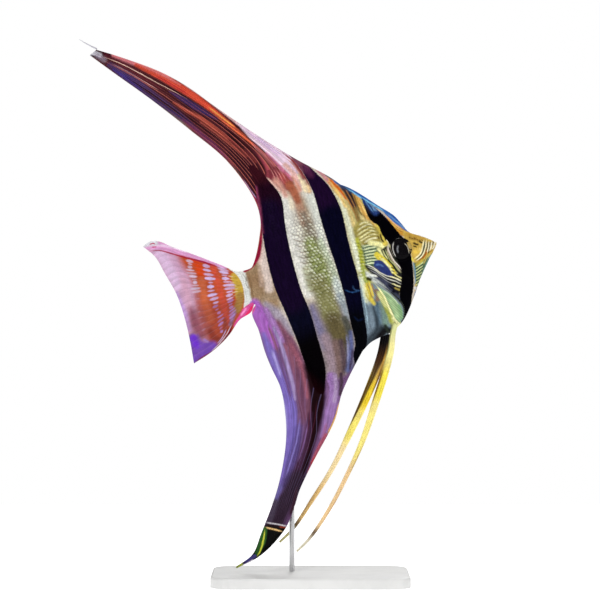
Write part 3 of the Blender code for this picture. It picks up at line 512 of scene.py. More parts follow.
           (92, 142, 134), soft=0.8),
    stroke([(104.6, -4.6), (101.6, -7.8), (99, -12)], 0.35, (60, 92, 66), soft=0.7),
    stroke([(105.4, -4), (102.6, -6.8), (100.2, -10)], 0.3, (206, 190, 96), soft=0.6),
    stroke([(96.6, 9.5), (101.9, 6.9), (106, 4.2), (109.6, 1.8)], (0.3, 0.6, 0.4),
           (216, 222, 226), soft=0.7),
    stroke([(110.4, 1.2), (110.4, -0.8), (108.8, -2.6)], 0.6, (236, 230, 196), soft=0.7),
    stroke([(94.2, -4.4), (94.6, -7.6)], 0.5, (232, 216, 84), soft=0.7),
    stroke([(94.6, -7), (94.5, -12), (93.6, -17), (92.4, -21)], 0.3, (120, 156, 184), soft=0.6),
    stroke([(92.8, -21.2), (92.4, -23)], 0.6, (222, 222, 222), soft=0.7),
    stroke([(80, -42.6), (84.8, -37.4), (88.6, -31.6), (91.4, -26), (93.2, -22)], 0.35,
           (64, 98, 150), soft=0.8),
    # the root of the tail fin
    stroke([(-0.2, 10), (0, 4), (0, -3), (-0.6, -9)], 1, (222, 224, 218), soft=0.8),
    stroke([(2.4, 7.4), (2.2, 2), (2, -4), (1.6, -8)], 0.5, (120, 92, 62), soft=1.4, strength=0.7),
    stroke([(9.2, 9.4), (8.8, 4), (8, -1)], 1, (186, 160, 142), soft=2, strength=0.8),
    stroke([(15.6, 33), (13, 24.3), (10.8, 18.6), (8.8, 14.6), (5, 11.2), (0.7, 9.4)],
           (0.6, 1.4, 1.6, 1.4, 1), (150, 18, 56), soft=1),
]

DORSAL_MARKS = [
    field([(15, 42), (13.6, 50), (4.3, 73.2), (-12, 94.8), (-30, 116.5), (-57.4, 149), (-53, 154),
           (-42, 146.5), (-20.7, 132.7), (4.6, 107.7), (20, 92), (31, 70), (27, 62), (27, 54), (20, 48)],
          (68, 25, 33), soft=4),
    stroke([(17, 50), (18.6, 59), (14, 66), (8, 75)], (3, 5, 3, 1.6), (48, 15, 24), soft=5),
    stroke([(10, 66), (2, 78), (-6, 89), (-14, 99)], 0.9, (120, 52, 60), soft=1.6),
    stroke([(16, 72), (10, 80), (4, 88), (-4, 97)], (0.5, 1, 0.8), (148, 66, 56), soft=1.4),
    stroke([(20.6, 68), (14, 78), (7, 87.4), (0, 96)], (0.5, 1, 0.6), (120, 48, 46), soft=1.4),
    stroke([(17, 76), (12, 83), (8, 89)], 0.7, (44, 14, 18), soft=1.2),
    stroke([(21, 74), (15.6, 82), (9.6, 89.4)], 0.7, (56, 18, 22), soft=1.2),
    *(stroke([(15.6 + 1.5 * k, 68 + 2 * k), (8 + 1.6 * k, 80 + 1.6 * k), (-4 + 1.8 * k, 94 + 1.5 * k),
              (-20 + 2.2 * k, 111 + 1.8 * k), (-38 + 1.6 * k, 131 + 0.9 * k)], 0.3,
             (26, 6, 14), soft=0.7, strength=0.85) for k in range(6)),
    # reds, browns and indigo, each along its rays
    stroke([(-47.5, 140.5), (-37.4, 130), (-29.8, 120), (-21, 110), (-12.5, 100), (-7, 93)],
           (1.6, 2.9, 2.8, 2.4, 1.6, 0.2), (62, 46, 88), soft=2.2),
    stroke([(-14, 101), (-7, 92), (-0.4, 83), (5.6, 74)], (0.3, 1.2, 1, 0.2), (104, 46, 82), soft=2),
    stroke([(-46, 137.6), (-37.6, 128.6), (-33, 123)], (0.6, 1.3, 0.6), (54, 46, 116), soft=1.4),
    stroke([(-40, 132), (-28, 118.6), (-18, 107.4), (-10.6, 98.6)], 0.4, (24, 12, 34), soft=1),
    stroke([(-32, 124), (-24.4, 115), (-15, 104.6)], 0.35, (40, 16, 30), soft=0.8),
    stroke([(-15, 97.4), (-8.6, 89), (-2, 80.6), (3.6, 73), (9.6, 62)], (0.5, 0.8, 0.8, 0.5),
           (132, 62, 104), soft=1),
    stroke([(5, 96.6), (1.2, 100), (-4, 105), (-9, 110), (-18, 118.2)], (0.3, 1.3, 1.7, 1.3, 0.1),
           (62, 42, 90), soft=1.6),
    stroke([(6.4, 96), (1, 102.6), (-5.6, 109.4), (-12, 115.6), (-18, 121)], 0.4, (36, 12, 24), soft=0.8),
    stroke([(-17, 111.6), (-11, 105.4), (-4.6, 99.8), (1.4, 93), (8, 84.6)], (0.4, 0.9, 1, 0.9, 0.4),
           (166, 72, 56), soft=1.2),
    stroke([(-48.6, 146.6), (-41, 140), (-31.6, 130.4), (-22, 120.6)], (0.8, 1.6, 1.2, 0.5),
           (84, 28, 40), soft=1.6),
    stroke([(-44, 145.6), (-34.6, 140), (-26, 134.4), (-16, 126.4)], (1.2, 2.2, 1.6, 0.2),
           (212, 124, 130), soft=1.8),
    stroke([(-33, 137.2), (-21.8, 128.6), (-12.6, 120), (-2.8, 110), (5.4, 100), (13, 90.4)],
           (1, 1.9, 2.2, 2.0, 1.4, 0.7), (212, 78, 56), soft=1.4),
    stroke([(-33, 139.4), (-26, 134.4), (-18.4, 127.8), (-11, 120.4)], (1, 1.5, 1, 0.1),
           (218, 124, 122), soft=1.8),
    stroke([(-24, 129), (-15.6, 121.4), (-7.6, 113.6)], 0.5, (190, 54, 52), soft=1),
    stroke([(-12, 123.4), (-1, 112.4), (8, 101.6), (15, 92.6), (19.4, 86.6)], (0.4, 0.8, 0.9, 0.7),
           (224, 180, 180), soft=1),
    stroke([(3.4, 101.6), (9, 94.4), (14, 88), (18.6, 82), (22.4, 76.4)], (0.6, 1.1, 1.1, 0.9, 0.4),
           (190, 84, 54), soft=1.2),
    stroke([(1.6, 104.6), (8, 96.8), (13.6, 90)], 0.35, (238, 160, 80), soft=0.8),
    stroke([(-51.3, 146.8), (-42.5, 140.8), (-36.4, 136), (-29.7, 130), (-22.3, 123.4), (-16.2, 118.2),
            (-8.9, 111.6)], (0.15, 0.2, 0.16, 0.05), (244, 206, 186), soft=0.34),
    stroke([(-50.6, 144), (-43.1, 137.8), (-35.7, 131.2), (-29.9, 125.4), (-23.3, 118.8), (-17.5, 112.6),
            (-10.8, 105.8), (-5.8, 100.8), (0.6, 93.6), (8, 84)], (0.14, 0.18, 0.12),
           (196, 106, 94), soft=0.4),
    stroke([(-46, 141), (-38.6, 134.6), (-31, 127.4), (-24, 120.6)], 0.14, (214, 160, 156), soft=0.35),
    # the clear front of the fin's base, and its rays
    field([(15, 92.4), (21.4, 87.4), (28.7, 80.3), (35.2, 73.9), (42.4, 67), (45, 56), (43, 48), (40.6, 50),
           (37, 58), (33, 63.6), (29.4, 69), (25, 76), (20, 83)], (230, 204, 222), soft=1.3),
    stroke([(19, 87), (24.4, 80.6), (30, 73.6), (36, 66.6)], 0.25, (196, 150, 206), soft=0.5, strength=0.8),
    stroke([(24, 82.6), (30.6, 74.6), (37, 67.6)], 0.22, (190, 160, 216), soft=0.5, strength=0.8),
    field([(22, 79), (27.4, 70.4), (31, 65.6), (34.4, 60), (38, 54), (38.6, 50), (34, 48), (29, 51),
           (24.6, 57), (25, 64), (23.4, 71)], (132, 54, 64), soft=2.4),
    stroke([(27.6, 71.6), (31, 66), (34.4, 60.4), (38.6, 53.6)], (0.6, 1, 0.9), (204, 116, 146), soft=1.2),
    stroke([(29.4, 55), (31.6, 50.6), (33, 46)], 1.6, (212, 158, 142), soft=3.4),
    stroke([(33.8, 57), (35.8, 52), (37, 48.6)], (1.8, 1.6, 1), (174, 78, 76), soft=2.8),
    stroke([(36.4, 51), (38, 46), (39, 41)], (2.4, 2.6, 1.6), (172, 96, 68), soft=2.6, strength=0.9),
    stroke([(46, 49), (46.6, 44)], 0.9, (232, 202, 150), soft=2),
    stroke([(39.4, 55), (41, 50.6), (41.6, 47)], 1.2, (216, 152, 130), soft=2.4),
    *(stroke([(20.6 + 1.5 * k, 79.4 - 1.8 * k), (25 + 1.3 * k, 70 - 1.2 * k), (28.4 + 1.4 * k, 61),
              (29.6 + 2 * k, 53)], 0.2, (222, 142, 136), soft=0.5) for k in range(4)),
    *(stroke([(21.6 + 1.4 * k, 78.4 - 1.6 * k), (26 + 1.3 * k, 68 - 1 * k), (29.4 + 1.4 * k, 59)], 0.2,
             (84, 20, 32), soft=0.6) for k in range(4)),
    stroke([(36.6, 62.6), (40, 57), (42.6, 51)], 1.3, (226, 180, 172), soft=1.8),
    stroke([(43.4, 55), (44, 50), (44.6, 46)], 1.3, (240, 222, 186), soft=1.6),
    stroke([(41.4, 64), (43.4, 58.6), (45, 53)], 1.1, (146, 84, 84), soft=1.8),
    stroke([(36.6, 70), (41.6, 63.4), (44.2, 57.7), (46.6, 51), (48, 46)], 0.4, (134, 50, 50), soft=0.7),
    stroke([(38.4, 66), (41.8, 60), (44.4, 53.6)], 0.2, (214, 150, 130), soft=0.4),
    stroke([(24.6, 58), (28, 53), (30.6, 48)], 0.6, (232, 190, 176), soft=1),
    # the rear edge, the leading edge and the tip
    stroke([(9.6, 62.6), (12.4, 55.6), (15.2, 48), (15.8, 42)], 0.9, (176, 50, 96), soft=1),
    stroke([(11.6, 60), (13.8, 54.1), (16.4, 48)], 0.2, (206, 180, 226), soft=0.45),
    stroke([(8, 65), (0, 77), (-10, 91), (-20, 104)], 0.35, (176, 90, 128), soft=0.7),
    stroke([(-52, 151.8), (-42, 146.4), (-20.7, 132.9), (-6.8, 120.6), (4.6, 107.8), (25.9, 84.6),
            (44.9, 65.8)], 0.4, (216, 180, 204), soft=0.7, strength=0.8),
    stroke([(-57.5, 149.4), (-54.4, 149), (-52, 147.4)], 1.4, (206, 206, 214), soft=1.4),
    stroke([(-57, 148.4), (-54.6, 147.2), (-52.6, 146)], 0.35, (22, 16, 40), soft=0.6),
    stroke([(-53.4, 147.6), (-50, 144.2)], 1.4, (158, 148, 166), soft=2.4, strength=0.6),
]

ANAL_MARKS = [
    field([(1.4, -10), (7, -13.4), (13, -24), (18, -34), (21.6, -46), (24, -58), (32, -62), (40, -62),
           (52, -58), (42, -74), (33, -88), (5, -122), (-10, -140), (-32, -152), (-44, -156), (-32, -145),
           (-12, -114), (2, -88), (3, -60), (-1, -26), (-3, -14)], (112, 78, 120), soft=3),
    stroke([(12, -24), (14.5, -34), (17.4, -46), (18.4, -58), (17.6, -69), (16, -78)], (2, 4, 4.2, 4, 3),
           (130, 80, 100), soft=4),
    stroke([(1.6, -11), (3.4, -18.6), (5.4, -27.7), (8, -36)], (3.6, 4, 2), (164, 98, 184), soft=3),
    stroke([(7.6, -15), (10, -24), (12.4, -34)], 1.4, (168, 124, 186), soft=2.4),
    stroke([(3, -28), (4.6, -40), (6.6, -52), (7.6, -62), (7.4, -74), (5.6, -84), (2.4, -95), (-2.4, -106),
            (-8.4, -117)], (1, 2.6, 3, 3.4, 4.6, 4.8, 4, 3, 1.4), (120, 102, 180), soft=3),
    stroke([(5.4, -38), (6.4, -46), (7, -54)], 0.7, (170, 158, 216), soft=1.6, strength=0.9),
    stroke([(7.6, -38), (8.6, -48), (9.6, -58), (9.8, -68)], 0.8, (106, 74, 124), soft=1.4),
    stroke([(9.4, -26), (11.2, -36), (12, -46), (12.6, -58), (12.2, -68)], (0.7, 1, 1, 0.8),
           (162, 142, 190), soft=1.4),
    stroke([(6.4, -24), (7.8, -32), (8.6, -40)], 0.7, (132, 84, 110), soft=1.4),
    stroke([(17, -52), (17, -62), (16.2, -72), (13.6, -82)], (1, 2, 2.2, 1), (106, 66, 92), soft=4),
    stroke([(14.4, -30), (14.2, -38)], 0.6, (118, 72, 98), soft=1.4),
    stroke([(16.6, -38), (19, -47), (19.8, -58), (19.2, -68)], 1.2, (148, 86, 104), soft=2.2),
    stroke([(13.4, -62), (12.6, -73), (9.8, -84)], 0.5, (112, 78, 110), soft=1.2),
    stroke([(5.4, -64), (4.8, -76), (1.8, -88), (-2.6, -99)], 0.5, (158, 148, 212), soft=1.2),
    stroke([(34.6, -60), (33.6, -68), (30.4, -77.6), (26.4, -86), (22, -92)], (2.4, 3.4, 3.6, 2.6, 1.2),
           (152, 114, 172), soft=2.4),
    stroke([(37, -60), (36, -67), (33.4, -74)], 1.1, (166, 140, 178), soft=1.6),
    stroke([(31.6, -60), (31.4, -67), (28, -77)], 0.7, (124, 88, 128), soft=1.4),
    stroke([(40.6, -60), (39.4, -66), (37.4, -71)], 1, (70, 50, 66), soft=1.6),
    stroke([(10.6, -84), (6.4, -95), (1, -105), (-5, -114)], (1.6, 2.6, 3, 2), (84, 66, 122), soft=3.4),
    stroke([(26.4, -52), (25.6, -64), (23.6, -74), (19, -85), (14, -95), (8.8, -105.4), (1.4, -116)],
           (5.4, 5, 4.2, 3.6, 3, 2.6, 2.4), (24, 3, 8), soft=3),
    stroke([(18.4, -78), (14.6, -88), (9.6, -98), (3, -109)], (1, 1.8, 2, 2), (66, 36, 62), soft=3),
    stroke([(21, -68), (18, -79), (13, -90), (7, -100)], 0.35, (92, 40, 58), soft=0.9, strength=0.8),
    stroke([(23.6, -72), (20.6, -81), (16, -90), (11, -100)], 0.2, (76, 26, 44), soft=0.6, strength=0.7),
    stroke([(12, -80), (8, -90), (2.6, -100), (-3.4, -110)], 0.4, (132, 118, 190), soft=0.9),
    stroke([(8.6, -82), (4.6, -92), (-1.4, -103.6)], 0.35, (92, 80, 150), soft=0.9),
    stroke([(15.6, -84), (11, -93.6), (5.6, -103)], 0.3, (116, 84, 136), soft=0.8),
    stroke([(36.6, -75), (33.3, -81.3), (28.8, -87.6), (25.2, -91.6)], 0.7, (214, 164, 90), soft=0.8),
    stroke([(26.6, -85), (22.6, -92), (19.4, -97)], 0.8, (150, 96, 140), soft=1.4),
    stroke([(24.4, -91.6), (19.6, -97.4), (14.6, -104), (9.6, -110.4)], (0.9, 1.4, 1.3, 0.5),
           (168, 84, 104), soft=1.2),
    stroke([(16.8, -101.4), (12.4, -106)], 0.6, (178, 60, 66), soft=0.8),
    stroke([(2.6, -112), (-2.8, -119.5), (-10.2, -127.3), (-15.1, -134)], (4.6, 5.4, 5.4),
           (46, 30, 46), soft=5),
    stroke([(-7.4, -114), (-11.6, -121)], 1.1, (98, 88, 146), soft=2),
    stroke([(-12, -122), (-16, -129), (-19, -134)], 1.6, (70, 58, 76), soft=2.4),
    stroke([(1.6, -117), (-2.4, -126), (-6, -132)], 0.8, (60, 34, 44), soft=1.4),
    field([(-21.4, -133.6), (-9.6, -138), (-13.7, -141.5), (-18.7, -145.6), (-27, -151), (-32, -151.6),
           (-33, -148), (-27, -143)], (9, 10, 8), soft=0.8),
    stroke([(-20.2, -132), (-14.6, -134.4), (-8.4, -137.2)], 0.35, (206, 200, 206), soft=0.4),
    stroke([(-20.8, -133.2), (-15.8, -135.4), (-9.4, -138.2)], 0.6, (30, 14, 18), soft=0.6),
    stroke([(-13, -136.3), (-9.2, -137.9)], 0.4, (150, 62, 40), soft=0.7),
    stroke([(-21.9, -134.4), (-17.3, -136.6), (-12, -139.4)], 0.4, (246, 204, 138), soft=0.5),
    stroke([(-21.6, -136), (-24.6, -142.4), (-28.6, -148)], (1.6, 2, 1.4), (48, 92, 40), soft=0.9),
    stroke([(-21.4, -136), (-23.6, -141.6), (-26.6, -147), (-29.4, -150)], (0.3, 0.5, 0.3),
           (206, 212, 70), soft=0.45),
    stroke([(-15.6, -143), (-20, -147), (-27.4, -151.6)], 0.4, (96, 100, 40), soft=0.6),
    stroke([(-30.4, -149.4), (-35.4, -150.8), (-39.4, -152.2)], 1, (84, 78, 146), soft=1),
    stroke([(-31, -151), (-35.4, -152.2), (-39, -153.2)], 0.4, (226, 220, 232), soft=0.6),
    stroke([(-36.6, -151), (-39, -152)], 0.5, (60, 40, 60), soft=0.7),
    stroke([(-39.4, -152.2), (-42.6, -153.6)], 1.4, (206, 214, 110), soft=1.2),
]


def spots(column, count, length, width, colour, strength=1.0):
    """A column of pale dashes across the tail fin's rays, each along its own ray and no two alike."""
    marks = []
    for k, centre in enumerate(smooth(column, count)):
        ray = centre - (12, 0)
        ray /= np.linalg.norm(ray)
        centre = centre + ray * 0.5 * math.sin(7.3 * k + count)
        reach = ray * length * (0.46 + 0.2 * math.sin(5.1 * k))
        wide = width * (0.8 + 0.35 * math.sin(3.7 * k + 1))
        marks.append(stroke([centre - reach, centre + reach], (wide * 0.5, wide, wide * 0.6), colour,
                            soft=0.7, strength=strength * (0.85 + 0.15 * math.sin(2.9 * k))))
    return marks


TAIL_MARKS = [
    field([(-3, 12), (-6, 12), (-30, 30), (-54, 40), (-54, 30), (-42, 0), (-41, -38), (-20, -28),
           (-3, -12)], (182, 78, 42), soft=1.5),
    field([(-35, 28), (-33, 20), (-30, 12), (-29, 2), (-30, -8), (-28.8, -16), (-28.6, -22), (-30, -28),
           (-42, -38), (-48, 10), (-58, 40), (-40, 32)], (200, 158, 188), soft=5.5),
    stroke([(-44, 30), (-41, 20), (-39, 10)], 3, (214, 182, 214), soft=4),
    stroke([(-34, 12), (-33.6, 2), (-33, -6)], 2, (204, 158, 182), soft=4),
    stroke([(-34, -5), (-33.2, -12), (-31.6, -20)], (1.6, 3.4, 3), (150, 92, 112), soft=5),
    stroke([(-28.6, 14), (-28.6, 4), (-28.2, -8), (-27.6, -20)], (0.8, 1.4, 2.6, 2.4),
           (172, 92, 84), soft=5),
    stroke([(-39.6, 6), (-38, -6), (-37.4, -16)], (0.8, 1.4, 1.2), (190, 154, 210), soft=2.4),
    stroke([(-16.2, 16.6), (-16, 10.8), (-15.6, 3.4), (-15.4, -2.7), (-15.4, -9), (-15.6, -17)], 1.7,
           (200, 78, 54), soft=2.4),
    stroke([(-26, 23), (-24.4, 18.4), (-23.9, 13.4)], 2, (202, 66, 22), soft=2),
    stroke([(-24.6, 9), (-25, 2.7), (-25.2, -5.1), (-24.6, -12.9)], 2.2, (196, 98, 62), soft=3),
    stroke([(-25.8, -20), (-25, -23.4), (-22.6, -25.6)], 1.8, (138, 54, 28), soft=2.6),
    stroke([(-16.6, -15), (-17.6, -20), (-19.6, -23.6)], 1.2, (150, 66, 44), soft=2),
    stroke([(-5.4, 7.4), (-4.6, 1), (-5.3, -4)], 2.4, (198, 164, 62), soft=1.6),
    stroke([(-5, -4), (-6.6, -8), (-8.6, -11)], 2.2, (160, 122, 60), soft=1.8),
    stroke([(-10.4, -12.7), (-12.8, -16.3), (-14.3, -18.5)], 1, (140, 112, 140), soft=1.4),
    field([(-8, -6), (-30, -5), (-38, -12), (-36, -28), (-20, -30), (-10, -18)],
          (120, 52, 56), soft=8, strength=0.4),
    field([(-33.4, -20), (-31.6, -24), (-25, -26), (-24, -29), (-38, -36), (-42, -36), (-40, -20)],
          (112, 72, 168), soft=3),
    stroke([(-36.4, -20.6), (-35.6, -25.6)], 1.8, (108, 52, 196), soft=2),
    stroke([(-31, -23), (-28.4, -25.6)], 0.6, (152, 116, 182), soft=1.2),
    *spots([(-16, 19), (-13.4, 16), (-11.4, 12.8), (-10.3, 3.4), (-10.6, -4)], 14, 5.4, 0.88,
           (208, 182, 224)),
    *spots([(-10.7, -5.4), (-11.4, -10), (-12.6, -16)], 7, 4.4, 0.72, (162, 122, 180)),
    *spots([(-17.6, 21), (-19.4, 17), (-20, 6.4), (-19.8, -4.5)], 12, 4.6, 1, (202, 178, 224)),
    *spots([(-19.6, -6.4), (-19, -14.4), (-19.6, -21)], 8, 3.8, 0.66, (164, 120, 176)),
    *spots([(-29, 22), (-28.8, 12), (-28.2, 4)], 11, 4.6, 0.8, (208, 190, 216), 0.85),
    *spots([(-29, 0), (-29.4, -8), (-30, -18)], 6, 2.6, 0.4, (182, 140, 166), 0.5),
    *spots([(-7.6, 8), (-7.8, 1), (-8, -3)], 7, 3.4, 0.26, (232, 216, 190), 0.8),
    *spots([(-4.6, 6.4), (-4.4, 0.8), (-4.6, -5)], 6, 3, 0.2, (120, 88, 24), 0.7),
    field([(-8, 12.4), (-1.4, 11), (0.2, 6), (0.9, -0.8), (0.5, -7.4), (-2.4, -10.3), (-4.6, -11.4),
           (-3.2, -6.6), (-2.4, 0), (-3.2, 5.6), (-5.4, 9.8)], (224, 226, 222), soft=0.6),
    stroke([(-1.4, 9), (0.1, 5), (-0.3, 2), (0.6, -2), (0.1, -5)], 0.2,
           (140, 136, 120), soft=0.4, strength=0.8),
    stroke([(-2.6, 10), (-1.4, 5), (-1.6, -1), (-1.8, -7)], 0.15, (178, 178, 170), soft=0.4, strength=0.7),
    stroke([(-52, 36.4), (-44.3, 34.6), (-35, 29.8), (-25.8, 24.4), (-17.6, 19.4), (-9, 13.6)],
           (2.4, 2.2, 1.7, 0.7), (216, 154, 200), soft=1.2),
    stroke([(-48, 36), (-38, 32.4), (-28, 26.6)], 0.6, (232, 200, 228), soft=1.2),
    stroke([(-53, 37), (-49, 37), (-45.4, 36.6)], 1.8, (214, 212, 220), soft=2),
    stroke([(-50.6, 32.6), (-44, 31.6), (-37.8, 28.4), (-30.9, 24.6), (-21.6, 19.8), (-12.6, 14.2)],
           (0.25, 0.4, 0.6), (158, 22, 50), soft=0.6),
    stroke([(-48.6, 36), (-46.6, 36.4), (-45.4, 35.6)], 0.3, (180, 40, 84), soft=0.5),
    stroke([(-47.6, 34.2), (-45, 34)], 0.28, (180, 40, 84), soft=0.5),
    stroke([(-12.6, -18), (-16.4, -23.6), (-20.6, -27), (-26.8, -31), (-34.6, -33.6), (-39, -35.4)], 0.7,
           (112, 18, 34), soft=0.8),
    stroke([(-13.2, -18.4), (-18.2, -24), (-23.9, -28.4), (-28.1, -30.8)], 0.16,
           (230, 216, 232), soft=0.35),
    stroke([(-17, -20.6), (-20.7, -25), (-24, -27.4)], 0.18, (196, 180, 226), soft=0.4),
    field([(1, -9), (2, -12), (-1.1, -15.6), (-6, -18), (-12.6, -20), (-8.3, -14.7), (-3.9, -10.6)],
          (212, 78, 146), soft=0.7),
    stroke([(0.4, -11), (-2, -13.6), (-5, -16)], 0.7, (228, 44, 96), soft=1),
    stroke([(-1, -15.4), (-6, -17.8), (-11.6, -20)], 0.35, (150, 20, 50), soft=0.6),
    stroke([(-3, -11.4), (-7.4, -15)], 0.5, (244, 150, 204), soft=0.8),
]

MARKS = BODY_MARKS + DORSAL_MARKS + ANAL_MARKS + TAIL_MARKS
PECTORAL_MARKS = BODY_MARKS + [
    stroke([(72.6, -14.2), (76.6, -18.4), (79.8, -23), (82.2, -27)], (0.5, 1, 0.8), (74, 78, 88), soft=1.2),
    stroke([(79.4, -21.6), (82.2, -25.6), (84.2, -30), (84, -35), (81.6, -40)], (1, 1.6, 1.7),
           (10, 10, 14), soft=1),
    field([(72.4, -16.8), (75.8, -20.4), (78.2, -23.2), (80, -26.8), (81.1, -30), (80.9, -34), (80, -37.4),
           (79.2, -41.4), (77.6, -40), (76.4, -34.2), (75.4, -29), (74.4, -24.1), (73, -19.5)],
          (140, 172, 124), soft=0.8),
    stroke([(73.6, -18.4), (76.6, -21.8), (79.4, -26), (81.4, -30.6)], 0.35, (190, 208, 170), soft=0.8),
    stroke([(80.6, -28), (81.4, -33), (80.4, -38)], 0.8, (126, 166, 116), soft=1.4),
    stroke([(76.4, -24), (78.2, -30), (78.8, -37)], 0.9, (164, 192, 140), soft=1.6),
    field([(70.6, -19), (71.4, -24), (73, -27), (74.6, -31), (75, -35), (76.6, -40), (77.4, -38), (76, -33),
           (75, -28.6), (74, -24), (72.6, -19.4)], (172, 176, 96), soft=0.7),
    stroke([(70.8, -19.4), (72.4, -24), (74, -29)], 0.9, (212, 212, 140), soft=1.4),
    stroke([(70.6, -14.6), (72.9, -19.5), (74.4, -24.1), (75.3, -29), (76.2, -34.2), (77.3, -38.7),
            (78, -42)], (0.35, 0.6, 0.7), (242, 240, 180), soft=0.6),
    stroke([(74.9, -24.6), (76, -29.6), (77, -34.8)], 0.14, (110, 104, 60), soft=0.35),
]


def sines(x, z, size, turn=0.0):
    """A smooth wandering value between about -1 and 1."""
    a, b = x / size + turn, z / size - turn
    return (np.sin(a * 2.1 + 1.3 * np.sin(b * 1.7)) + np.sin(b * 2.6 + 1.1 * np.sin(a * 1.9 + 2))) / 2


FAR_FROM_BARS = -9.0  # further outside the bars than their edges reach


class Canvas:
    """The paint on a set of points: three colours, and what the shader needs to draw bars and lines.
    bar is how far inside a bar a point lies, and wander how unevenly the marks' edges run. The share
    beside phase sets how strongly a fin's ray lines show and how much painted shade falls across each ray."""

    def __init__(self, x, z, marks=MARKS, barred=True, wander=0.1):
        self.x, self.z = x, z
        u, v = x + wander * sines(x, z, 2.2), z + wander * sines(x, z, 1.9, 4)
        count = len(x)
        self.colour = np.tile(linear(CREAM), (count, 1))
        paint(self.colour, marks, u, v)
        self.dark = np.tile(linear(BLUE_BLACK), (count, 1))
        self.bar = np.full(count, FAR_FROM_BARS)
        if barred:
            paint(self.dark, BAR_TINTS, u, v)
            for outline in BARS.values():
                self.bar = np.maximum(self.bar, off_route(outline, x, z, closed=True)[0])
        self.lines = np.zeros((count, 3))
        self.phase, self.line_and_shade_share = np.zeros(count), np.zeros(count)
        self.flow = np.stack([x / 3, z / 3, np.zeros(count)], axis=1)
        self.scale = np.zeros((count, 3))

    def attributes(self):
        """All of it, under the names that the shader reads."""
        return {
            "colour": self.colour, "dark": self.dark, "lines": self.lines, "flow": self.flow,
            "marks": np.stack([self.bar, self.phase, self.line_and_shade_share], axis=1), "scale": self.scale,
        }


# ---------------------------------------------------------------- materials
GRAIN, BLOTCH = 1400, 260  # the scales of the fine and the broad noise in the paint


class Graph:
    """Short calls for building one material's nodes."""

    def __init__(self, name):
        self.material = bpy.data.materials.new(name)
        self.material.use_nodes = True
        self.tree = self.material.node_tree
        self.shader = self.tree.nodes["Principled BSDF"]

    def put(self, socket, value):
        if isinstance(value, bpy.types.NodeSocket):
            self.tree.links.new(value, socket)
        else:
            socket.default_value = value

    def shade(self, **values):
        for name, value in values.items():
            self.put(self.shader.inputs[name.replace("_", " ")], value)
        return self.material

    def attribute(self, name, output="Color"):
        node = self.tree.nodes.new("ShaderNodeAttribute")
        node.attribute_name = name
        return node.outputs[output]

    def place_on_object(self):
        return self.tree.nodes.new("ShaderNodeTexCoord").outputs["Object"]

    def parts(self, vector):
        node = self.tree.nodes.new("ShaderNodeSeparateXYZ")
        self.put(node.inputs[0], vector)
        return node.outputs[:3]

    def stretched(self, vector, by):
        node = self.tree.nodes.new("ShaderNodeVectorMath")
        node.operation = "MULTIPLY"
        self.put(node.inputs[0], vector)
        node.inputs[1].default_value = by
        return node.outputs[0]

    def noise(self, vector, scale, detail=3.0, roughness=0.55):
        node = self.tree.nodes.new("ShaderNodeTexNoise")
        self.put(node.inputs["Vector"], vector)
        node.inputs["Scale"].default_value = scale
        node.inputs["Detail"].default_value = detail
        node.inputs["Roughness"].default_value = roughness
        return node.outputs["Fac"]

    def maths(self, operation, a, b=0.0, c=0.0):
        node = self.tree.nodes.new("ShaderNodeMath")
        node.operation = operation
        for socket, value in zip(node.inputs, (a, b, c)):
            self.put(socket, value)
        return node.outputs[0]

    def ranged(self, value, low, high, to_low=0.0, to_high=1.0):
        node = self.tree.nodes.new("ShaderNodeMapRange")
        node.interpolation_type = "SMOOTHSTEP"
        for name, number in (("Value", value), ("From Min", low), ("From Max", high),
                             ("To Min", to_low), ("To Max", to_high)):
            self.put(node.inputs[name], number)
        return node.outputs["Result"]

    def mixed(self, share, a, b, blend="MIX"):
        node = self.tree.nodes.new("ShaderNodeMix")
        node.data_type, node.blend_type = "RGBA", blend
        for k, value in ((0, share), (6, a), (7, b)):
            self.put(node.inputs[k], value)
        return node.outputs[2]

    def bump(self, height, distance, strength=1.0):
        node = self.tree.nodes.new("ShaderNodeBump")
        self.put(node.inputs["Height"], height)
        node.inputs["Distance"].default_value = distance
        node.inputs["Strength"].default_value = strength
        return node.outputs[0]


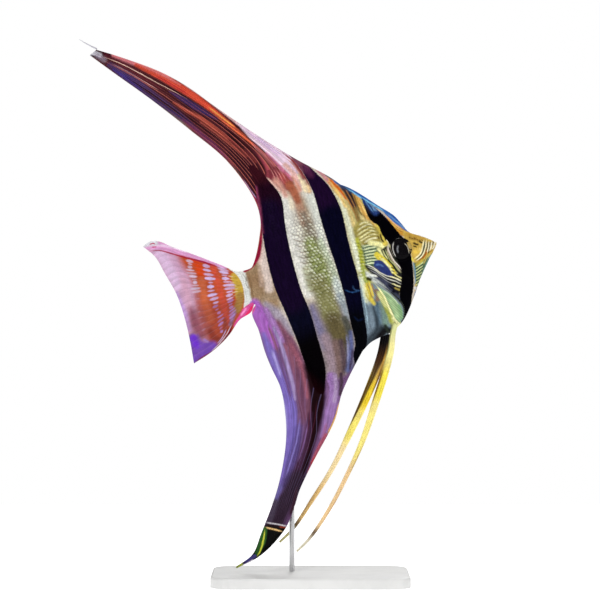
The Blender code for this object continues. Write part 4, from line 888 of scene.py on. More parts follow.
def painted_finish(name, streaks=0.3, roughness=0.4, coat=0.03, scaled=False):
    """Skin, scales and fins: the painted colours, broken up by streaks along the flow, with crisp rays
    and bars drawn from the painted distances, painted shade across each fin ray, and painted highlights
    on the scales."""
    g = Graph(name)
    bar, phase, line_and_shade_share = g.parts(g.attribute("marks", "Vector"))
    flow = g.attribute("flow", "Vector")
    spot = g.place_on_object()
    grain = g.noise(spot, GRAIN, 3)
    blotch = g.noise(spot, BLOTCH, 4)
    streak = g.noise(g.stretched(flow, (1, 0.16, 1)), 3.0, 4, 0.6)
    shade = g.maths("ADD", g.ranged(streak, 0.25, 0.75, 1 - streaks, 1 + streaks),
                    g.ranged(blotch, 0.3, 0.7, -0.08, 0.08))
    shade = g.maths("MULTIPLY", shade, g.ranged(grain, 0.25, 0.75, 0.93, 1.07))
    if scaled:
        rim, chance, glint = g.parts(g.attribute("scale", "Vector"))
        shade = g.maths("MULTIPLY", shade, g.maths("SUBTRACT", 1.05, g.maths("MULTIPLY", rim, 0.62)))
        shade = g.maths("MULTIPLY", shade, g.ranged(chance, 0.0, 1.0, 0.9, 1.08))
    else:
        # painted shade across each ray: lighter on one side of the ray and darker on the other
        painted_ray_shade = g.maths("MULTIPLY", g.maths("SUBTRACT", g.maths("FRACT", phase), 0.5), line_and_shade_share)
        shade = g.maths("MULTIPLY", shade, g.maths("MULTIPLY_ADD", painted_ray_shade, -2.0, 1.0))
    colour = g.mixed(1.0, g.attribute("colour"), shade, "MULTIPLY")
    if scaled:
        # painted highlights: the middles of some scales mixed towards a pale colour
        colour = g.mixed(glint, colour, (0.92, 0.94, 0.8, 1))
    ripple = g.maths("PINGPONG", g.maths("MULTIPLY_ADD", blotch, 0.12, phase), 0.5)
    line = g.maths("MULTIPLY", g.ranged(ripple, 0.1, 0.03), line_and_shade_share)
    colour = g.mixed(line, colour, g.attribute("lines"))
    edge = g.maths("MULTIPLY_ADD", g.maths("SUBTRACT", grain, 0.5), 0.9, bar)
    inside = g.ranged(edge, -0.22, 0.22)
    dark = g.mixed(1.0, g.attribute("dark"), g.ranged(streak, 0.3, 0.8, 0.6, 1.3), "MULTIPLY")
    colour = g.mixed(inside, colour, dark)
    height = g.maths("ADD", g.maths("MULTIPLY", streak, 0.6), g.maths("MULTIPLY", grain, 0.5))
    height = g.maths("SUBTRACT", height, g.maths("MULTIPLY", line, 0.35))
    return g.shade(
        Base_Color=colour,
        Roughness=g.ranged(grain, 0.2, 0.8, roughness - 0.07, roughness + 0.09),
        Normal=g.bump(height, 0.00006),
        Specular_IOR_Level=g.ranged(inside, 0.0, 1.0, 0.04, 0.01),
        Coat_Weight=g.ranged(inside, 0.0, 1.0, coat, 0.0),
        Coat_Roughness=0.2,
    )


def eye_finish():
    """The painted iris and pupil, with a painted highlight, under a wet gloss."""
    g = Graph("eye")
    grain = g.noise(g.place_on_object(), 2600, 3)
    iris = g.mixed(g.ranged(grain, 0.35, 0.65, 0.0, 0.35), g.attribute("colour"), (0.02, 0.017, 0.02, 1))
    return g.shade(Base_Color=iris, Roughness=g.ranged(grain, 0.3, 0.7, 0.05, 0.1),
                   Specular_IOR_Level=0.01, Coat_Weight=0.03, Coat_Roughness=0.03)


def base_finish():
    """Pale satin lacquer."""
    g = Graph("stand_base")
    place = g.place_on_object()
    grain, cloud = g.noise(place, 3000, 2), g.noise(place, 60, 3)
    colour = g.mixed(g.ranged(cloud, 0.3, 0.7), (0.7, 0.7, 0.69, 1), (0.76, 0.76, 0.75, 1))
    return g.shade(Base_Color=colour, Roughness=g.ranged(grain, 0.3, 0.7, 0.38, 0.5),
                   Normal=g.bump(grain, 0.00004))


def rod_finish():
    """Steel, brushed along the rod."""
    g = Graph("stand_rod")
    place = g.place_on_object()
    brushed = g.noise(g.stretched(place, (3000, 3000, 40)), 1.0, 3)
    colour = g.mixed(g.ranged(brushed, 0.3, 0.7), (0.5, 0.5, 0.51, 1), (0.66, 0.66, 0.67, 1))
    return g.shade(Base_Color=colour, Metallic=1.0, Normal=g.bump(brushed, 0.00003),
                   Roughness=g.ranged(brushed, 0.3, 0.7, 0.24, 0.38))


# ---------------------------------------------------------------- meshes
def inside_out(points, faces):
    """Whether the faces of a closed shape look inwards, told by the sign of the volume they enclose."""
    centred = points - points.mean(axis=0)
    volume = 0.0
    for group in faces:
        for k in range(1, group.shape[1] - 1):
            a, b, c = centred[group[:, 0]], centred[group[:, k]], centred[group[:, k + 1]]
            volume += (a * np.cross(b, c)).sum()
    return volume < 0


def add_piece(name, points, faces, finish, attributes=None, uv=None, replaces=()):
    """A visible piece from fish-frame points and arrays of faces with equal corner counts, all turned
    to look outwards. uv has a place for each point."""
    points = place(points)
    faces = [np.asarray(f) for f in faces]
    if inside_out(points, faces):
        faces = [f[:, ::-1] for f in faces]
    corners = np.concatenate([f.ravel() for f in faces])
    sizes = np.concatenate([np.full(len(f), f.shape[1]) for f in faces])
    mesh = bpy.data.meshes.new(name)
    mesh.vertices.add(len(points))
    mesh.vertices.foreach_set("co", points.astype(np.float32).ravel())
    mesh.loops.add(len(corners))
    mesh.loops.foreach_set("vertex_index", corners.astype(np.int32))
    mesh.polygons.add(len(sizes))
    mesh.polygons.foreach_set("loop_start", np.concatenate([[0], np.cumsum(sizes)[:-1]]).astype(np.int32))
    mesh.polygons.foreach_set("use_smooth", np.ones(len(sizes), bool))
    mesh.update(calc_edges=True)
    for key, values in (attributes or {}).items():
        made = mesh.attributes.new(key, "FLOAT_VECTOR", "POINT")
        made.data.foreach_set("vector", values.astype(np.float32).ravel())
    if uv is not None:
        layer = mesh.uv_layers.new(name="OFBake")
        layer.data.foreach_set("uv", uv[corners].astype(np.float32).ravel())
    mesh.materials.append(finish)
    piece = bpy.data.objects.new(name, mesh)
    bpy.context.scene.collection.objects.link(piece)
    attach(piece, "root")
    if replaces:
        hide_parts(*replaces)
    return piece


def grid_faces(rows, columns, start=0, flip=False):
    """Square faces over a grid of points that starts at one index."""
    index = start + np.arange(rows * columns).reshape(rows, columns)
    quads = np.stack([index[:-1, :-1], index[:-1, 1:], index[1:, 1:], index[1:, :-1]], axis=2)
    quads = quads.reshape(-1, 4)
    return quads[:, ::-1] if flip else quads


def two_sided(rows, columns):
    """Faces of a closed sheet: a grid of points on its right side, the same on its left, and the rim."""
    under = rows * columns
    index = np.arange(under).reshape(rows, columns)
    edge = np.concatenate([index[0, :-1], index[:-1, -1], index[-1, :0:-1], index[:0:-1, 0]])
    ahead = np.roll(edge, -1)
    rim = np.stack([ahead, edge, edge + under, ahead + under], axis=1)
    return [grid_faces(rows, columns), grid_faces(rows, columns, under, flip=True), rim]


def both_sides(values):
    """The attributes of one side of a piece, repeated for the other."""
    return {key: np.vstack([value, value]) for key, value in values.items()}


def sheet_uv(rows, columns):
    """The two sides of a sheet, side by side on the map, with a little room between."""
    v, u = np.meshgrid(np.linspace(0.02, 0.98, rows), np.linspace(0.01, 0.49, columns), indexing="ij")
    right = np.column_stack([u.ravel(), v.ravel()])
    return np.vstack([right, right + (0.5, 0)])


# ---------------------------------------------------------------- the skin
RINGS, LEVELS = 300, 240  # from tail to lips, and from belly to back on one side
EYE_SOCKET = 1.6  # how deep the skin sinks under the eye
RIDGES = [  # soft ridges on the flank: route, width and height, which is negative for a groove
    # the rear edge of the cheek
    ([(83, 10), (82, 0), (84, -10), (90, -17)], 1.0, 0.28),
    ([(84.2, 9), (83.4, 0), (85.4, -9), (91, -15.6)], 0.5, -0.22),
    # the mouth and the lips
    ([(112, -0.3), (108, -2.6), (104.6, -4.6)], 0.32, -0.75),
    ([(111.4, 0.9), (108, -1.1), (104.8, -3)], 0.7, 0.34),
    ([(110.8, -2.2), (107.6, -4.2), (104.4, -6.2)], 0.7, 0.3),
    ([(105, -3.4), (103.4, -5.6), (102.4, -8.6)], 0.55, -0.3),
    ([(106.4, 2.6), (104.6, -0.4), (103.8, -3.4)], 0.6, -0.16),
    # the nostril and its rim
    ([(99.2, 5.6), (99.6, 5.2)], 0.42, -0.7),
    ([(98.3, 6.2), (99.4, 4.5), (100.5, 5.2), (99.4, 6.4)], 0.35, 0.16),
    # the line of the jaw under the cheek
    ([(96, -11), (90, -21), (84, -30)], 1.1, -0.16),
]


def relief(x, z):
    """How far the skin stands out at each place on the side view, and how far that is from the eye."""
    gill = off_route(GILL_COVER, x, z, closed=True)[0]
    rear = ease(x, 84, 74)  # only the gill cover's rear edge stands free
    out = rear * np.where(gill > 0, 0.42 * np.exp(-gill / 1.6), -0.3 * np.exp(gill / 1.1))
    for route, width, height in RIDGES:
        out += height * np.exp(-((off_route(route, x, z)[0] / width) ** 2))
    out += 0.05 * sines(x, z, 4) * ease(x, 70, 90)
    away = np.hypot(x - EYE_CENTRE[0], z - EYE_CENTRE[1]) - EYE_RADIUS
    out += 0.3 * np.exp(-(((away - 0.55) / 0.45) ** 2)) - 0.2 * np.exp(-(((away - 1.5) / 0.5) ** 2))
    return out, away


def skin_points():
    """One side of the body as a grid of points, inside the solids by the coat's depth: x, half width and
    z. Each row crosses from belly to back, and the last few rows close the lips. Also each point's
    share of the way from tail to lips, and its level from -1 at the belly to 1 at the back."""
    u = np.linspace(0, 1, RINGS) ** 0.85  # closer together towards the head
    back, belly = (smooth(outline, DENSE) for outline in (BACK, BELLY))
    back, belly = offset(back, -COAT), offset(belly, COAT)
    dense = np.linspace(0, 1, DENSE)
    back, belly = (np.stack([np.interp(u, dense, line[:, k]) for k in (0, 1)], axis=1)
                   for line in (back, belly))
    level = np.sin(np.linspace(-1, 1, LEVELS) * math.pi / 2)
    level = 0.6 * level + 0.4 * np.linspace(-1, 1, LEVELS)
    lens = np.cos(level * math.pi / 2).clip(0)
    sharp = np.where(level[None] > 0, lookup(BACK_SHARPNESS, u)[:, None],
                     lookup(BELLY_SHARPNESS, u)[:, None])
    rim = RIM - COAT / 2
    half = rim * (1 - 0.999 * level**2) ** 0.15 + (lookup(GIRTH, u)[:, None] - COAT - rim) * lens**sharp
    blunt = np.sqrt(1 - ease(u, 0.965, 1.012)[:, None] ** 2)  # the lips close in a round nose
    share = (level[None] + 1) / 2
    middle = 0.5 + (share - 0.5) * (0.3 + 0.7 * blunt)
    x = belly[:, :1] + (back[:, :1] - belly[:, :1]) * middle
    z = belly[:, 1:] + (back[:, 1:] - belly[:, 1:]) * middle
    u, level = np.broadcast_to(u[:, None], x.shape), np.broadcast_to(level, x.shape)
    return x, half * (0.15 + 0.85 * blunt), z, u, level


def flank_normals(x, y, z):
    """The direction in which a grid of points faces, out from the fish, at each point."""
    points = np.stack([x, y, z], axis=2)
    normal = np.cross(np.gradient(points, axis=0), np.gradient(points, axis=1))
    normal *= np.sign(normal[:, :, 1:2].sum())
    return normal / np.maximum(np.linalg.norm(normal, axis=2, keepdims=True), 1e-9)


def skin_flank():
    """One side of the skin with its relief: points, and where each lies on the unwrap."""
    x, y, z, u, level = skin_points()
    normal = flank_normals(x, y, z)
    out, away = relief(x, z)
    edge = ease(1 - np.abs(level), 0.0, 0.06)  # relief dies out at the back and belly lines
    x, y, z = (c + normal[:, :, k] * out * edge for k, c in enumerate((x, y, z)))
    socket = ease(-away, -0.1, 0.5)
    y = y - socket * EYE_SOCKET
    return x, y, z, np.column_stack([(0.01 + 0.48 * u).ravel(), (0.02 + 0.48 * (level + 1)).ravel()])


def skin(finish):
    """One closed skin over both sides, in place of the seven solids of flesh."""
    x, y, z, unwrap = skin_flank()
    canvas = Canvas(x.ravel(), z.ravel())
    right = np.column_stack([x.ravel(), -y.ravel(), z.ravel()])
    left = np.column_stack([x.ravel(), y.ravel(), z.ravel()])
    under = RINGS * LEVELS
    index = np.arange(under).reshape(RINGS, LEVELS)
    seams = []
    for column, flip in ((0, True), (-1, False)):
        line = index[:, column]
        strip = np.stack([line[:-1], line[1:], line[1:] + under, line[:-1] + under], axis=1)
        seams.append(strip[:, ::-1] if flip else strip)
    caps = [np.concatenate([index[k], index[k, ::-1] + under])[None, ::step]
            for k, step in ((0, 1), (-1, -1))]
    faces = [grid_faces(RINGS, LEVELS, flip=True), grid_faces(RINGS, LEVELS, under), *seams, *caps]
    return add_piece("skin", np.vstack([right, left]), faces, finish,
                     both_sides(canvas.attributes()), np.vstack([unwrap, unwrap + (0.5, 0)]),
                     ("head", "upper_jaw", "lower_jaw", "gill_cover_left", "gill_cover_right", "trunk",
                      "tail_stem"))


# ---------------------------------------------------------------- fins
def patch(lead, trail, root, end, along, across):
    """A grid of points over four edges: lead and trail run out from the body, root and end cross them.
    The root's bulge dies out towards the end, and the end's towards the root."""
    lead, trail = smooth(lead, along), smooth(trail, along)
    root, end = smooth(root, across), smooth(end, across)
    a, b = np.linspace(0, 1, across)[None, :, None], np.linspace(0, 1, along)[:, None, None]
    ruled = lead[:, None] * (1 - a) + trail[:, None] * a
    return ruled + (1 - b) ** 1.5 * (root - ruled[0])[None] + b**1.5 * (end - ruled[-1])[None]


def flat(points):
    """Side-view points as points in space, midway between the fish's sides."""
    p = np.asarray(points, float)
    return np.column_stack([p[:, 0], np.zeros(len(p)), p[:, 1]])


def root_between(outline, first, last, inwards, count=40):
    """Points along the back or belly from near one place to near another, moved into the body."""
    dense = smooth(outline, DENSE)
    ends = [np.argmin(np.linalg.norm(dense - place, axis=1)) for place in (first, last)]
    return flat(offset(dense, inwards)[np.linspace(*ends, count).round().astype(int)])


def streak(canvas, out, across, reach, course, width, colour, strength=1.0, soft=0.5):
    """Paints a ribbon along a fin's rays. reach is where it starts and ends on the way out, course and
    width its middle and half width across the fin at both ends, and soft how wide its edges are."""
    way = np.clip((out - reach[0]) / (reach[1] - reach[0]), 0, 1)
    middle = course[0] + (course[1] - course[0]) * way
    half = width[0] + (width[1] - width[0]) * way
    wander = 0.012 * np.sin(out * 23 + course[0] * 40) + 0.008 * np.sin(out * 51 + course[1] * 70)
    depth = (half - np.abs(across + wander - middle)) / half
    fade = min(0.05, 0.6 * (reach[1] - reach[0]))
    ends = ease(out, reach[0] - fade, reach[0] + fade) * ease(out, reach[1] + fade, reach[1] - fade)
    share = strength * ease(depth, -soft, soft) * ends
    canvas.colour += (linear(colour) - canvas.colour) * share[:, None]


def rays(across, count, sharpness=3.0):
    """The thickness of a fin's rays at each place across it, from 0 between rays to 1 on them."""
    return (0.5 + 0.5 * np.cos(across * count * 2 * math.pi)) ** sharpness


def fin_canvas(grid, out, across, count, line_colour, line_and_shade_share, marks=MARKS, barred=True):
    """The paint on a fin, with the fin's own rays as lines and painted shade across each ray."""
    canvas = Canvas(grid[:, :, 0].ravel(), grid[:, :, 2].ravel(), marks, barred, wander=0.06)
    canvas.lines[:] = linear(line_colour)
    canvas.phase = across * count
    canvas.line_and_shade_share = line_and_shade_share * np.ones(len(out))
    canvas.flow = np.column_stack([across * 9, out * 9, np.zeros(len(out))])
    return canvas


def fin_piece(name, grid, half, canvas, finish, replaces):
    """A fin from the grid of its middle surface and its half thickness there."""
    side = np.stack([np.zeros_like(half), half, np.zeros_like(half)], axis=2)
    points = np.vstack([(grid - side).reshape(-1, 3), (grid + side).reshape(-1, 3)])
    rows, columns = grid.shape[:2]
    return add_piece(name, points, two_sided(rows, columns), finish, both_sides(canvas.attributes()),
                     sheet_uv(rows, columns), replaces)


def over_fin(rows, columns):
    """Each grid point's share of the way out from the body, and of the way across from the front."""
    out, across = np.meshgrid(np.linspace(0, 1, rows), np.linspace(0, 1, columns), indexing="ij")
    return out, across


def median_fin(lead, trail, outline, inwards, wave, lean, count, line_colour):
    """The grid, half thickness and paint of the dorsal or the anal fin, with its rays as real ridges."""
    rows, columns = 320, 190
    root = root_between(outline, lead[0], trail[0], inwards)
    grid = patch(flat(lead), flat(trail), root, flat([lead[-1], trail[-1]]), rows, columns)
    out, across = over_fin(rows, columns)
    grid[:, :, 1] += lean * out**2 + wave * np.sin(across * 5 + out * 4) * out * (1 - out) * 2
    limit = RIM + (FIN_EDGE - RIM) * np.maximum(out, across**3)
    ray = rays(across, count, 2)
    edge = ease(np.minimum(across, 1 - across), -0.01, 0.03)
    half = limit * (0.4 + 0.5 * ray * edge) * (0.5 + 0.5 * edge)
    return grid, half, fin_canvas(grid, out.ravel(), across.ravel(), count, line_colour, 0.0)


def dorsal_fin(finish):
    """The dorsal fin, and the filament that its tip ends in."""
    grid, half, canvas = median_fin(DORSAL_LEAD, DORSAL_TRAIL, BACK, -FIN_INSET, DORSAL_WAVE,
                                    DORSAL_LEAN, DORSAL_RAYS, (208, 112, 96))
    out, across = (share.ravel() for share in over_fin(*half.shape))
    canvas.line_and_shade_share = (0.28 + 0.5 * ease(out, 0.6, 0.4)) * ease(across, 0.26, 0.4) * ease(out, 0.02, 0.14)
    fin_piece("dorsal_fin_rayed", grid, half, canvas, finish,
              ("dorsal_fin", "dorsal_streamer"))
    rows, columns = 30, 8
    line = smooth(DORSAL_FILAMENT, rows)
    width = np.linspace(FILAMENT_BASE, FILAMENT_TIP, rows)[:, None]
    rise = np.column_stack([width * 0.53, width * 0.85])
    share = np.linspace(-1, 1, columns)[None, :, None]
    grid = flat(line)[:, None] + share * np.column_stack([rise[:, 0], rise[:, 0] * 0, rise[:, 1]])[:, None]
    grid[:, :, 1] += FILAMENT_Y
    half = FIN_EDGE * np.sqrt(1.05 - share[:, :, 0] ** 2) * np.linspace(1, 0.5, rows)[:, None]
    out, across = over_fin(rows, columns)
    canvas = fin_canvas(grid, out.ravel(), across.ravel(), 2, (60, 58, 70), 0.5)
    canvas.colour[:] = linear((196, 194, 204))
    fin_piece("dorsal_filament_rayed", grid, half, canvas, finish, ("dorsal_filament",))


def anal_fin(finish):
    """The anal fin, with its streamer."""
    grid, half, canvas = median_fin(ANAL_LEAD, ANAL_TRAIL, BELLY, FIN_INSET, ANAL_WAVE, ANAL_LEAN,
                                    ANAL_RAYS, (168, 150, 210))
    canvas.line_and_shade_share = 0.14 * ease(canvas.z, -132, -118)
    fin_piece("anal_fin_rayed", grid, half, canvas, finish, ("anal_fin", "anal_streamer"))


def tail_fin(finish):
    """The tail fin, a fan of rays that is thickest at its root."""
    rows, columns = 190, 220
    grid = patch(flat(TAIL_UPPER), flat(TAIL_LOWER), flat(TAIL_ROOT), flat(TAIL_END), rows, columns)
    out, across = over_fin(rows, columns)
    grid[:, :, 1] += TAIL_WAVE * np.sin(across * 7) * out**1.5
    limit = TAIL_BASE + (FIN_EDGE - TAIL_BASE) * out**0.6
    forked = ease(out, 0.4, 0.6)  # each ray parts in two
    ray = rays(across, TAIL_RAYS, 2) * (1 - forked) + rays(across, 2 * TAIL_RAYS, 2) * forked
    half = TAIL_FLOOR + 0.75 * (limit - TAIL_FLOOR) * (1 - 0.45 * (1 - ray) * (1 - out))
    half *= 0.6 + 0.4 * ease(1 - out, 0, 0.03)
    canvas = fin_canvas(grid, out.ravel(), across.ravel(), 20, (214, 170, 180), 0.08)
    fin_piece("tail_fin_rayed", grid, half, canvas, finish, ("tail_fin",))


def pectoral_fins(finish):
    """The two pectoral fins, each the mirror of the other."""
    rows, columns = 90, 90
    for side, sign in (("right", 1), ("left", -1)):
        mirror = np.array([1, sign, 1])
        upper, lower, end = (np.array(edge) * mirror
                             for edge in (PECTORAL_UPPER, PECTORAL_LOWER, PECTORAL_END))
        grid = patch(upper, lower, [upper[0], lower[0]], end, rows, columns)
        out, across = over_fin(rows, columns)
        edge = ease(np.minimum(across, 1 - across), -0.01, 0.06) * ease(1 - out, -0.02, 0.05)
        half = PECTORAL_FLOOR + 0.16 * rays(across, PECTORAL_RAYS, 2) * (1 - 0.5 * out)
        half *= 0.4 + 0.6 * edge
        o, a = out.ravel(), across.ravel()
        canvas = fin_canvas(grid, o, a, PECTORAL_RAYS, (206, 222, 180), 0.3 * ease(o, 0.0, 0.3),
                            PECTORAL_MARKS, False)
        fin_piece("pectoral_" + side + "_rayed", grid, half, canvas, finish,
                  ("pectoral_fin_" + side,))


WHOLE = ((0.5, 0.5), (0.8, 0.8))  # a course and width that cover a feeler from edge to edge
# Each feeler's colours on the way out: reach, course, width, colour, strength and softness.
FEELER_STREAKS = {
    "right": [((-0.1, 0.08), *WHOLE, (226, 228, 168), 1.0, 0.2),
              ((0.06, 0.18), *WHOLE, (248, 240, 166), 1.0, 0.2),
              ((0.17, 0.34), *WHOLE, (246, 228, 84), 1.0, 0.2),
              ((0.33, 0.6), *WHOLE, (247, 232, 138), 1.0, 0.2),
              ((0.58, 0.9), *WHOLE, (238, 204, 154), 1.0, 0.2),
              ((0.0, 0.16), (0.95, 0.98), (0.14, 0.1), (128, 128, 74), 0.9, 0.5),
              ((0.18, 0.33), (0.98, 0.92), (0.24, 0.1), (112, 58, 18), 0.9, 0.5),
              ((0.5, 0.63), (0.08, 0.1), (0.14, 0.16), (186, 156, 84), 0.8, 0.5),
              ((0.72, 0.82), (0.1, 0.1), (0.2, 0.16), (200, 160, 116), 0.8, 0.5),
              ((0.88, 0.92), *WHOLE, (84, 54, 34), 1.0, 0.2),
              ((0.93, 1.1), *WHOLE, (220, 214, 190), 1.0, 0.2)],
    "left": [((-0.1, 0.16), *WHOLE, (10, 8, 12), 1.0, 0.2),
             ((0.17, 0.36), *WHOLE, (242, 212, 54), 1.0, 0.2),
             ((0.35, 0.52), *WHOLE, (245, 230, 120), 1.0, 0.2),
             ((0.5, 0.7), *WHOLE, (245, 224, 174), 1.0, 0.2),
             ((0.68, 0.9), *WHOLE, (230, 194, 130), 1.0, 0.2),
             ((0.08, 0.2), (0.08, 0.3), (0.12, 0.2), (214, 166, 76), 0.9, 0.6),
             ((0.08, 0.42), (0.6, 0.96), (0.36, 0.1), (70, 42, 22), 0.95, 0.5),
             ((0.14, 0.26), (0.1, 0.04), (0.14, 0.08), (92, 50, 22), 0.9, 0.5),
             ((0.74, 0.84), (0.8, 0.8), (0.24, 0.16), (190, 150, 96), 0.8, 0.5),
             ((0.88, 0.92), *WHOLE, (104, 72, 48), 1.0, 0.2),
             ((0.93, 1.1), *WHOLE, (224, 218, 158), 1.0, 0.2)],
}


def feelers(finish):
    """The long pelvic fins: a stiff leading ray with softer ones bound behind it."""
    rows, columns = 260, 32
    for side, line in FEELERS.items():
        centre = smooth(line, rows)
        along = np.gradient(centre, axis=0)
        along /= np.linalg.norm(along, axis=1)[:, None]
        ahead = np.column_stack([-along[:, 2], np.zeros(rows), along[:, 0]])
        out, across = over_fin(rows, columns)
        width = lookup(FEELER_HALF_WIDTH[side], out[:, 0])[:, None, None]
        grid = centre[:, None] + ahead[:, None] * width * (1 - 2 * across)[:, :, None]
        crown = np.sqrt((1.02 - (1 - 2 * across) ** 2).clip(0))
        thick = FEELER_THICK * (1 - out) ** 0.7 + FEELER_FLOOR
        half = thick * crown * (0.62 + 0.38 * rays(across, FEELER_RAYS, 1))
        o, a = out.ravel(), across.ravel()
        canvas = fin_canvas(grid, o, a, FEELER_RAYS, (255, 238, 130), 0.15 * ease(o, 0.1, 0.2), (), False)
        canvas.flow[:, 1] *= 2
        for mark in FEELER_STREAKS[side]:
            streak(canvas, o, a, *mark)
        fin_piece("feeler_" + side, grid, half, canvas, finish, ("pelvic_fin_" + side,))


# ---------------------------------------------------------------- the eyes
EYE_LAP = 0.25  # how far the eye runs under the rim of its socket
EYE_SPAN = EYE_RADIUS + 0.6  # the radius at which the eye's dome would come down to nothing
EYE_MARKS_AND_HIGHLIGHT = [
    field([(93.5, 4), (93.7, 2), (94.1, 0.4), (95.6, 0), (97, 2), (96, 4.4)], (196, 168, 92), soft=0.5),
    stroke([(93.6, 0), (94.6, -1), (95.6, -1.6)], 0.3, (150, 132, 84), soft=0.6),
    stroke([(86.4, 6), (85.2, 3.5), (85, 0.6), (85.6, -2.4)], 0.2, (240, 236, 228), soft=0.4),
    stroke([(84.2, 5.4), (83.8, 2.6), (84.2, -0.6), (85.2, -3.6)], 0.1, (170, 160, 140), soft=0.3),
    stroke([(84, 6.1), (84.8, 7), (87.3, 7.5), (90.7, 7.6)], 0.12, (190, 190, 186), soft=0.35),
    # a painted highlight: a grey stroke on the dark of the eye
    stroke([(88.4, 3.6), (87.5, 1.8), (87.3, -0.6)], 0.42, (132, 134, 140), soft=0.7),
    stroke([(92, 4), (93.1, 2.3), (93.5, 0.7), (93.4, -2.3)], 0.16, (222, 214, 188), soft=0.4),
]


def eyes(finish):
    """Each eye is a low dome of iris and cornea that fills its socket."""
    around, rings = 96, 34
    share = np.linspace(0, 1, rings)[:, None]
    turn = np.linspace(0, 2 * math.pi, around, endpoint=False)[None]
    radius = (EYE_RADIUS + EYE_LAP) * np.sin(share * math.pi * 0.5) ** 0.9
    dome = EYE_DOME * np.sqrt((1 - (radius / EYE_SPAN) ** 2).clip(0))
    x, z = EYE_CENTRE[0] + radius * np.cos(turn), EYE_CENTRE[1] + radius * np.sin(turn)
    tilt = EYE_TILT * (x - EYE_CENTRE[0])
    for side, sign in (("right", -1), ("left", 1)):
        y = EYE_OUT + dome - tilt
        front = np.column_stack([x[1:].ravel(), (sign * y[1:]).ravel(), z[1:].ravel()])
        back = front[-around:] + (0, -sign * EYE_DEEP, 0)
        top = (EYE_CENTRE[0], sign * (EYE_OUT + dome[0, 0]), EYE_CENTRE[1])
        points = np.vstack([front, back, top])
        index = np.arange(rings * around).reshape(rings, around)
        ahead = np.roll(index, -1, axis=1)
        quads = np.stack([index[:-1], index[1:], ahead[1:], ahead[:-1]], axis=2).reshape(-1, 4)
        fan = np.stack([np.full(around, len(points) - 1), index[0], ahead[0]], axis=1)
        cap = index[-1][None, ::-1]
        faces = [quads, fan, cap]
        colours = np.tile(linear(PUPIL), (len(points), 1))
        paint(colours, EYE_MARKS_AND_HIGHLIGHT, points[:, 0], points[:, 2])
        unwrap = 0.5 + 0.48 * (points[:, [0, 2]] - EYE_CENTRE) / EYE_SPAN
        add_piece("eye_" + side + "_clear", points, faces, finish, {"colour": colours}, unwrap,
                  ("eye_" + side,))


# ---------------------------------------------------------------- the scales
LATTICE, STEP = ((-12.0, -90.0), (112.0, 96.0)), 0.5  # the side view on which the flank is measured
OUTSIDE = 40  # a distance well clear of the fish's side


class Flank:
    """How far out one side of the fish lies, over its side view."""

    def __init__(self, pieces, sign):
        self.low, self.high = np.array(LATTICE[0]), np.array(LATTICE[1])
        self.size = ((self.high - self.low) / STEP).astype(int) + 1
        self.depth = np.full(self.size, np.nan)
        trees = []
        for piece in pieces:
            mesh = piece.data
            places = np.empty(len(mesh.vertices) * 3, np.float32)
            mesh.vertices.foreach_get("co", places)
            trees.append(BVHTree.FromPolygons(self.unplaced(places.reshape(-1, 3)).tolist(),
                                              [tuple(p.vertices) for p in mesh.polygons]))
        for i in range(self.size[0]):
            for j in range(self.size[1]):
                x, z = self.low + STEP * np.array([i, j])
                start, way = Vector((x, sign * OUTSIDE, z)), Vector((0, -sign, 0))
                hits = [tree.ray_cast(start, way) for tree in trees]
                depths = [sign * hit[0].y for hit in hits if hit[0] is not None]
                if depths:
                    self.depth[i, j] = max(depths)

    @staticmethod
    def unplaced(points):
        """Model metres as fish-frame millimetres."""
        x = points[:, 0] / MM - TAIL_ROOT_X
        z = points[:, 2] / MM - TAIL_ROOT_Z
        cos, sin = math.cos(NOSE_UP), math.sin(NOSE_UP)
        return np.stack([x * cos + z * sin, points[:, 1] / MM, z * cos - x * sin], axis=1)

    def at(self, x, z):
        """The depth at each place, or nan off the fish."""
        i = np.clip((x - self.low[0]) / STEP, 0, self.size[0] - 1.001)
        j = np.clip((z - self.low[1]) / STEP, 0, self.size[1] - 1.001)
        a, b = i.astype(int), j.astype(int)
        f, g = i - a, j - b
        d = self.depth
        return ((d[a, b] * (1 - f) + d[a + 1, b] * f) * (1 - g)
                + (d[a, b + 1] * (1 - f) + d[a + 1, b + 1] * f) * g)


SCALE_SIDE = 6  # points along each side of a scale's square grid
COARSE, FINE = (1.95, 1.7), (1.25, 1.1)  # spacing along and across the rows
JITTER = 0.12  # how far scales stray from their rows
STEEPEST = 2.4  # a scale that would span more depth than this is left out
SCALE_THICKNESS = 0.03
PIECE_FACES = 190_000  # the most triangles in one piece of the coat
SCALE_PATCH = 0.0015  # half the side of one scale's patch on the map
# The scaled sheath ends on the fins' bases.
SHEATH = [(1.5, 9.4), (7, 13), (14.5, 27), (16.5, 40), (20, 55), (30, 63), (44, 60.5), (56, 54), (68, 43.5),
          (84, 28), (92, 12), (92, -24), (82, -39), (72, -44), (56, -51), (44, -62), (34, -68), (24, -62),
          (15, -37), (6, -18), (1.5, -9)]
